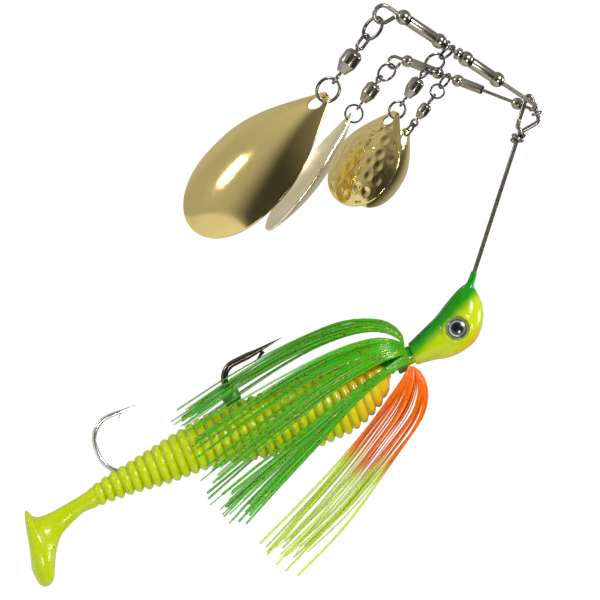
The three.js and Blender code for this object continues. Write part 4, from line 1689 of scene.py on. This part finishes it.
@dataclass
class Trailer:
    """The ribbed soft-plastic body and its paddle tail, as one skin."""

    top: tuple = (
        (-8, 2.6),
        (-12, 4.2),
        (-17.3, 4.7),
        (-34.8, 5.3),
        (-46, 6.0),
        (-53, 5.9),
        (-63.3, 4.4),
        (-74.5, 2.4),
        (-82, 1.2),
        (-87.5, -0.2),
    )
    bottom: tuple = (
        (-8, -5.4),
        (-12, -8.9),
        (-16, -11.0),
        (-21.2, -12.6),
        (-30.7, -12.9),
        (-42.6, -10.6),
        (-55.6, -7.4),
        (-67.5, -7.1),
        (-78.8, -5.9),
        (-87.5, -5.5),
    )
    flank: tuple = (
        (-8, 3.6), (-12, 5.6), (-20, 7.2), (-33, 7.6), (-45, 7.0), (-57, 5.8), (-70, 4.6), (-80, 3.4),
        (-87.5, 2.6),
    )
    tail: tuple = (
        (-88.6, -0.9, -88.6, -5.4, 2.2),
        (-91, -1.3, -91.1, -5.4, 2.0),
        (-95.3, -1.9, -94.6, -6.6, 1.9),
        (-99.2, -2.3, -98.6, -8.7, 2.4),
        (-101.8, -2.2, -101.3, -12.1, 3.6),
        (-103.3, -1.4, -102.9, -15.2, 4.9),
        (-104.0, 0.2, -104.4, -18.0, 5.5),
        (-104.7, 0.3, -106.2, -19.1, 5.6),
        (-105.7, -2.4, -107.9, -18.4, 5.0),
        (-106.5, -6.0, -108.5, -16.2, 3.4),
        (-107.2, -9.2, -108.6, -13.6, 1.4),
    )
    pitch: float = 2.45
    groove: float = 0.95
    steps: int = 10
    around: int = 72

    def rib(self, x: float) -> float:
        """How far a place lies down in a groove, from 0 on a rib's crest to 1."""
        return 1 - abs(math.cos(math.pi * x / self.pitch)) ** 0.62

    def build(self) -> bpy.types.Object:
        """Makes the trailer in the space of both CAD solids."""
        angles = np.arange(self.around) / self.around * 2 * np.pi
        up, out = np.sin(angles), np.cos(angles)
        rings, depths = [], []
        first, last = -7.2, -87.5
        nose = JIG.out([(first + 0.6, 0, -0.9)])[0]
        rings.append(np.repeat(nose[None, :], self.around, axis=0) + self.speck(out, up, 0.4))
        depths.append(np.zeros(self.around))
        for x in np.arange(first, last, -self.pitch / self.steps):
            easing = min(1.0, max(0.25, (first - x) / 1.6)) ** 0.5
            high, low = (
                np.interp(-x, [-p[0] for p in points], [p[1] for p in points])
                for points in (self.top, self.bottom)
            )
            half = np.interp(-x, [-p[0] for p in self.flank], [p[1] for p in self.flank])
            ribbed = min(1.0, max(0.0, (-8.5 - x) / 4)) * min(1.0, max(0.0, (x + 88.5) / 3))
            depth = self.rib(x) * ribbed
            sunk = self.groove * depth * (1 + 0.45 * (up < 0) * np.minimum(1, -up))
            middle, tall = (high + low) / 2, (high - low) / 2
            y = (half * easing - sunk) * out
            z = middle + (tall * easing - sunk) * up
            rings.append(JIG.out(np.stack([np.full(self.around, x), y, z], axis=1)))
            depths.append(np.full(self.around, depth))
        for high_x, high, low_x, low, half in spline(self.tail, 60):
            x = (high_x + low_x) / 2 + (high_x - low_x) / 2 * up
            z = (high + low) / 2 + (high - low) / 2 * up
            rings.append(JIG.out(np.stack([x, half * out, z], axis=1)))
            depths.append(np.zeros(self.around))
        skin = Shape().rings(rings, groove=np.concatenate(depths))
        piece = skin.build("trailer_skin", TRAILER, 75)
        hinge = list(TAIL_HINGE)
        start, end = JIG.out([(hinge[0] + 7.0, 0, hinge[2]), (hinge[0] - 7.0, 0, hinge[2])])
        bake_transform(piece)
        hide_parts("trailer_body", "trailer_tail")
        return piece

    def speck(self, out: Array, up: Array, radius: float) -> Array:
        """Offsets of a tiny ring that closes the nose."""
        return (out[:, None] * JIG.left + up[:, None] * JIG.up) * radius * MM


# ---- skirt ---------------------------------------------------------------------------------------


@dataclass(frozen=True)
class Tuft:
    """A bundle of strands between two guides, which stands for one CAD bundle on each side."""

    node: str
    finish: Finish
    guides: tuple
    strands: int
    spread: float


@dataclass
class Skirt:
    """Silicone strands that leave the collar, turn and trail back over the trailer."""

    seed: int = 7
    steps: int = 30
    width: tuple[float, float] = (0.26, 0.5)
    thickness: float = 0.17
    tufts: tuple[Tuft, ...] = (
        Tuft(
            "skirt_top",
            GREEN,
            (
                (
                    (-1.2, 0.4, 3.2), (-1.0, 0.7, 6.6), (-4.6, 1.2, 11), (-14, 1.8, 14.2),
                    (-27, 2.6, 13.9), (-43, 3.4, 11.4), (-62, 4.6, 6.9),
                ),
                (
                    (-1.4, 2.0, 2.9), (-2.2, 3.2, 5.6), (-6.6, 4.6, 9), (-15, 5.4, 10.8),
                    (-28, 5.8, 10.6), (-44, 6.0, 8.2), (-62, 6.4, 4.4),
                ),
            ),
            16,
            0.7,
        ),
        Tuft(
            "skirt_shoulder",
            GREEN,
            (
                (
                    (-1.4, 2.2, 2.6), (-2.8, 4.0, 4.8), (-8, 6.4, 7.4), (-18, 7.8, 8.2),
                    (-31, 8.4, 7.2), (-46, 8.2, 4.6), (-63, 7.4, 0.6),
                ),
                (
                    (-1.4, 3.3, 0.4), (-3.6, 5.6, 0.9), (-10, 8.2, 0.8), (-21, 9.4, -0.8),
                    (-34, 9.8, -4.2), (-48, 9.0, -8.4), (-61.5, 8.0, -12.6),
                ),
            ),
            17,
            0.9,
        ),
        Tuft(
            "skirt_side",
            GREEN,
            (
                (
                    (-1.4, 3.3, 0.2), (-3.8, 5.8, 0.0), (-10.5, 8.4, -1.6), (-21, 9.6, -4.4),
                    (-33, 9.9, -8), (-47, 9.0, -12), (-61, 7.6, -16.4),
                ),
                (
                    (-1.6, 2.9, -1.2), (-4.6, 5.2, -1.6), (-11.5, 7.6, -3.4), (-21.5, 8.4, -7.4),
                    (-32, 8.0, -12.4), (-44, 7.0, -17.8), (-57, 6.0, -24.2),
                ),
            ),
            17,
            0.9,
        ),
        Tuft(
            "skirt_throat",
            ORANGE,
            (
                (
                    (-1.2, 0.3, -3.2), (0.2, 0.5, -6.2), (-0.6, 0.9, -11.4), (-4.4, 1.3, -16.6),
                    (-14, 1.8, -23), (-30, 2.4, -32.4), (-49.5, 3.0, -40.4),
                ),
                (
                    (-2.0, 2.4, -2.4), (-4.4, 3.8, -4.4), (-9.5, 5.0, -7.2), (-17, 5.2, -11.4),
                    (-27, 5.0, -17.0), (-40, 4.6, -23.4), (-54, 4.2, -30.0),
                ),
            ),
            15,
            1.15,
        ),
    )

    def strand(
        self,
        tuft: Tuft,
        share: float,
        side: float,
        dice: random.Random,
    ) -> tuple[list[Array], Array, Array]:
        """One strand.

        Args:
            tuft: its bundle.
            share: its place between the bundle's guides, from 0 to 1.
            side: -1 for the near side, 1 for the far one.
            dice: the source of chance.

        Returns:
            Its rings, the share of its length at each, and its shade.
        """
        first, second = (spline(guide, self.steps) for guide in tuft.guides)
        path = first + (second - first) * share
        run = np.linspace(0, 1, self.steps)
        drift = np.array([dice.gauss(0, 0.5), dice.gauss(0, 1), dice.gauss(0, 1)]) * tuft.spread
        wave = dice.uniform(0, 6.28)
        sway = np.sin(run * dice.uniform(3, 7) + wave) - math.sin(wave)
        blown = run[:, None] ** 1.3 * drift * 1.5
        swayed = sway[:, None] * np.array([0.0, 0.25, 0.35]) * run[:, None]
        path = path + blown + swayed
        path[:, 1] = np.maximum(0.15, path[:, 1]) * side
        keep = dice.uniform(0.88, 1.0)
        count = max(8, round(self.steps * keep))
        path = spline(path[:count], self.steps)
        half = dice.uniform(*self.width)
        flat = circle(half, self.thickness, 8)
        turn = dice.uniform(-0.6, 0.6)
        lie = np.array([0.0, math.sin(turn), math.cos(turn)])
        rings = sweep(JIG.out(path), lambda t: flat * (1 - 0.25 * t), JIG.out([lie])[0] - JIG.origin)
        return rings, run, np.full(self.steps, dice.random())

    def build(self) -> list[bpy.types.Object]:
        """Makes one piece for each bundle of the frame."""
        pieces = []
        for tuft in self.tufts:
            for end, side in (("near", -1.0), ("far", 1.0)):
                dice = random.Random(f"{self.seed} {tuft.node} {end}")
                shape = Shape()
                for k in range(tuft.strands):
                    share = (k + dice.uniform(0.1, 0.9)) / tuft.strands
                    rings, run, shade = self.strand(tuft, share, side, dice)
                    shape.rings(rings, run=run, shade=shade)
                node = f"{tuft.node}_{end}"
                pieces.append(settle(shape.build(f"{node}_strands", tuft.finish, 60), tuft.finish, node))
        return pieces


# ---- studio --------------------------------------------------------------------------------------


@dataclass(frozen=True)
class Lamp:
    """A square soft light: its place from the lure's middle, its side and its power in watts."""

    name: str
    place: tuple[float, float, float]
    size: float
    power: float


@dataclass
class Studio:
    """The floor, the lights, the sky and the camera.

    The sky has a level everywhere, and more of it at the left, overhead and behind the lure. The camera sees
    it white.
    """

    centre: tuple[float, float, float] = (-19.9, 0.0, -69.6)
    span: float = 150.0
    distance: float = 3600.0
    roll: float = 36.0
    sensor: float = 36.0
    floor_drop: float = 225.0
    floor_radius: float = 350.0
    floor_thickness: float = 4.0
    floor_sides: int = 96
    sky_everywhere: float = 0.05
    sky_left: float = 0.42
    sky_high: float = 0.25
    sky_backdrop: float = 0.4
    sky_seen: float = 1.06
    lamps: tuple[Lamp, ...] = (
        Lamp("key", (230, -560, 700), 210, 6.2),
        Lamp("glow", (-865, -255, -90), 170, 2.4),
        Lamp("rim", (560, 120, 420), 200, 1.4),
        Lamp("fill", (420, -780, -120), 200, 2.4),
    )

    def camera(self) -> None:
        """Looks along +Y, with the picture turned about the line of sight."""
        data = bpy.data.cameras.new("camera")
        data.sensor_width = self.sensor
        data.lens = self.sensor * self.distance / self.span
        camera = bpy.data.objects.new("camera", data)
        turn = math.radians(self.roll)
        right = Vector((math.cos(turn), 0.0, math.sin(turn)))
        upward = Vector((-math.sin(turn), 0.0, math.cos(turn)))
        back = right.cross(upward)
        camera.matrix_world = Matrix((right, upward, back)).transposed().to_4x4()
        camera.location = Vector(self.centre) * MM + back * self.distance * MM
        bpy.context.scene.collection.objects.link(camera)
        bpy.context.scene.camera = camera

    def light(self, lamp: Lamp) -> None:
        """Adds a lamp aimed at the lure.

        Args:
            lamp: the lamp.
        """
        data = bpy.data.lights.new(lamp.name, "AREA")
        data.size = lamp.size * MM
        data.energy = lamp.power
        holder = bpy.data.objects.new(lamp.name, data)
        holder.location = (Vector(self.centre) + Vector(lamp.place)) * MM
        holder.rotation_euler = (-Vector(lamp.place)).to_track_quat("-Z", "Y").to_euler()
        bpy.context.scene.collection.objects.link(holder)

    def sky(self) -> None:
        """A white backdrop behind the lure and a dim room in front, which gives metal its dark faces."""
        world = bpy.data.worlds.new("studio")
        bpy.context.scene.world = world
        world.use_nodes = True
        tree = world.node_tree
        tree.nodes.clear()
        direction = Shader.add(tree, "ShaderNodeTexCoord", output="Generated")
        backdrop = direction.dot((0.0, 1.0, 0.0)).step(0.35, 0.9)
        left = direction.dot((-0.97, -0.1, -0.1)).step(0.35, 0.85)
        high = direction.dot((0.0, 0.0, 1.0)).step(0.0, 0.9)
        shade = self.sky_everywhere + left * self.sky_left
        shade = shade + high * self.sky_high + backdrop * self.sky_backdrop
        seen = Shader.add(tree, "ShaderNodeLightPath", output="Is Camera Ray")
        strength = shade + (self.sky_seen - shade) * seen
        light = Shader.add(
            tree,
            "ShaderNodeBackground",
            {},
            {"Color": (1.0, 0.995, 0.98), "Strength": strength},
        )
        Shader.add(tree, "ShaderNodeOutputWorld", {}, {"Surface": light})

    def floor(self) -> None:
        """A pale round floor below the lure."""
        shader = Shader("pale_floor")
        grain = shader.noise(shader.place(), 0.02, 3.0)
        colour = shader.mix(grain, (0.86, 0.86, 0.85), (0.82, 0.82, 0.81))
        material = shader.principled({"Base Color": colour, "Roughness": 0.8})
        rings = turned(
            [(self.floor_radius, 0.0), (self.floor_radius, -self.floor_thickness)],
            np.array([-0.02, 0.0, -self.floor_drop * MM]),
            -DOWN,
            self.floor_sides,
        )
        shape = Shape().rings(rings)
        floor = shape.build("floor", NICKEL)
        floor.data.materials[0] = material

    def build(self) -> None:
        """Sets up everything that is not the lure."""
        scene = bpy.context.scene
        scene.view_settings.view_transform = "Standard"
        self.camera()
        self.sky()
        self.floor()
        for lamp in self.lamps:
            self.light(lamp)


def report(group: str, pieces: Iterable[bpy.types.Object]) -> None:
    """Logs each piece of a group with its size.

    Args:
        group: the group's name.
        pieces: its pieces.
    """
    for piece in pieces:
        size = ", ".join(f"{side / MM:.1f}" for side in piece.dimensions)
        LOG.info("%s: %s, %d faces, %s mm", group, piece.name, len(piece.data.polygons), size)


def main() -> None:
    """Builds the lure's looks in order."""
    logging.basicConfig(level=logging.INFO, format="%(message)s")
    Studio().build()
    wires = WireFrame()
    report("wires", wires.build())
    report("spacers", Spacers(wires.arms).build())
    for chain in CHAINS:
        report(f"{chain.name} chain", chain.build())
    report("head", JigHead().build(wires))
    report("hooks", Hooks().build())
    report("trailer", [Trailer().build()])
    report("skirt", Skirt().build())
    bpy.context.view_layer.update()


if __name__ == "__main__":
    main()
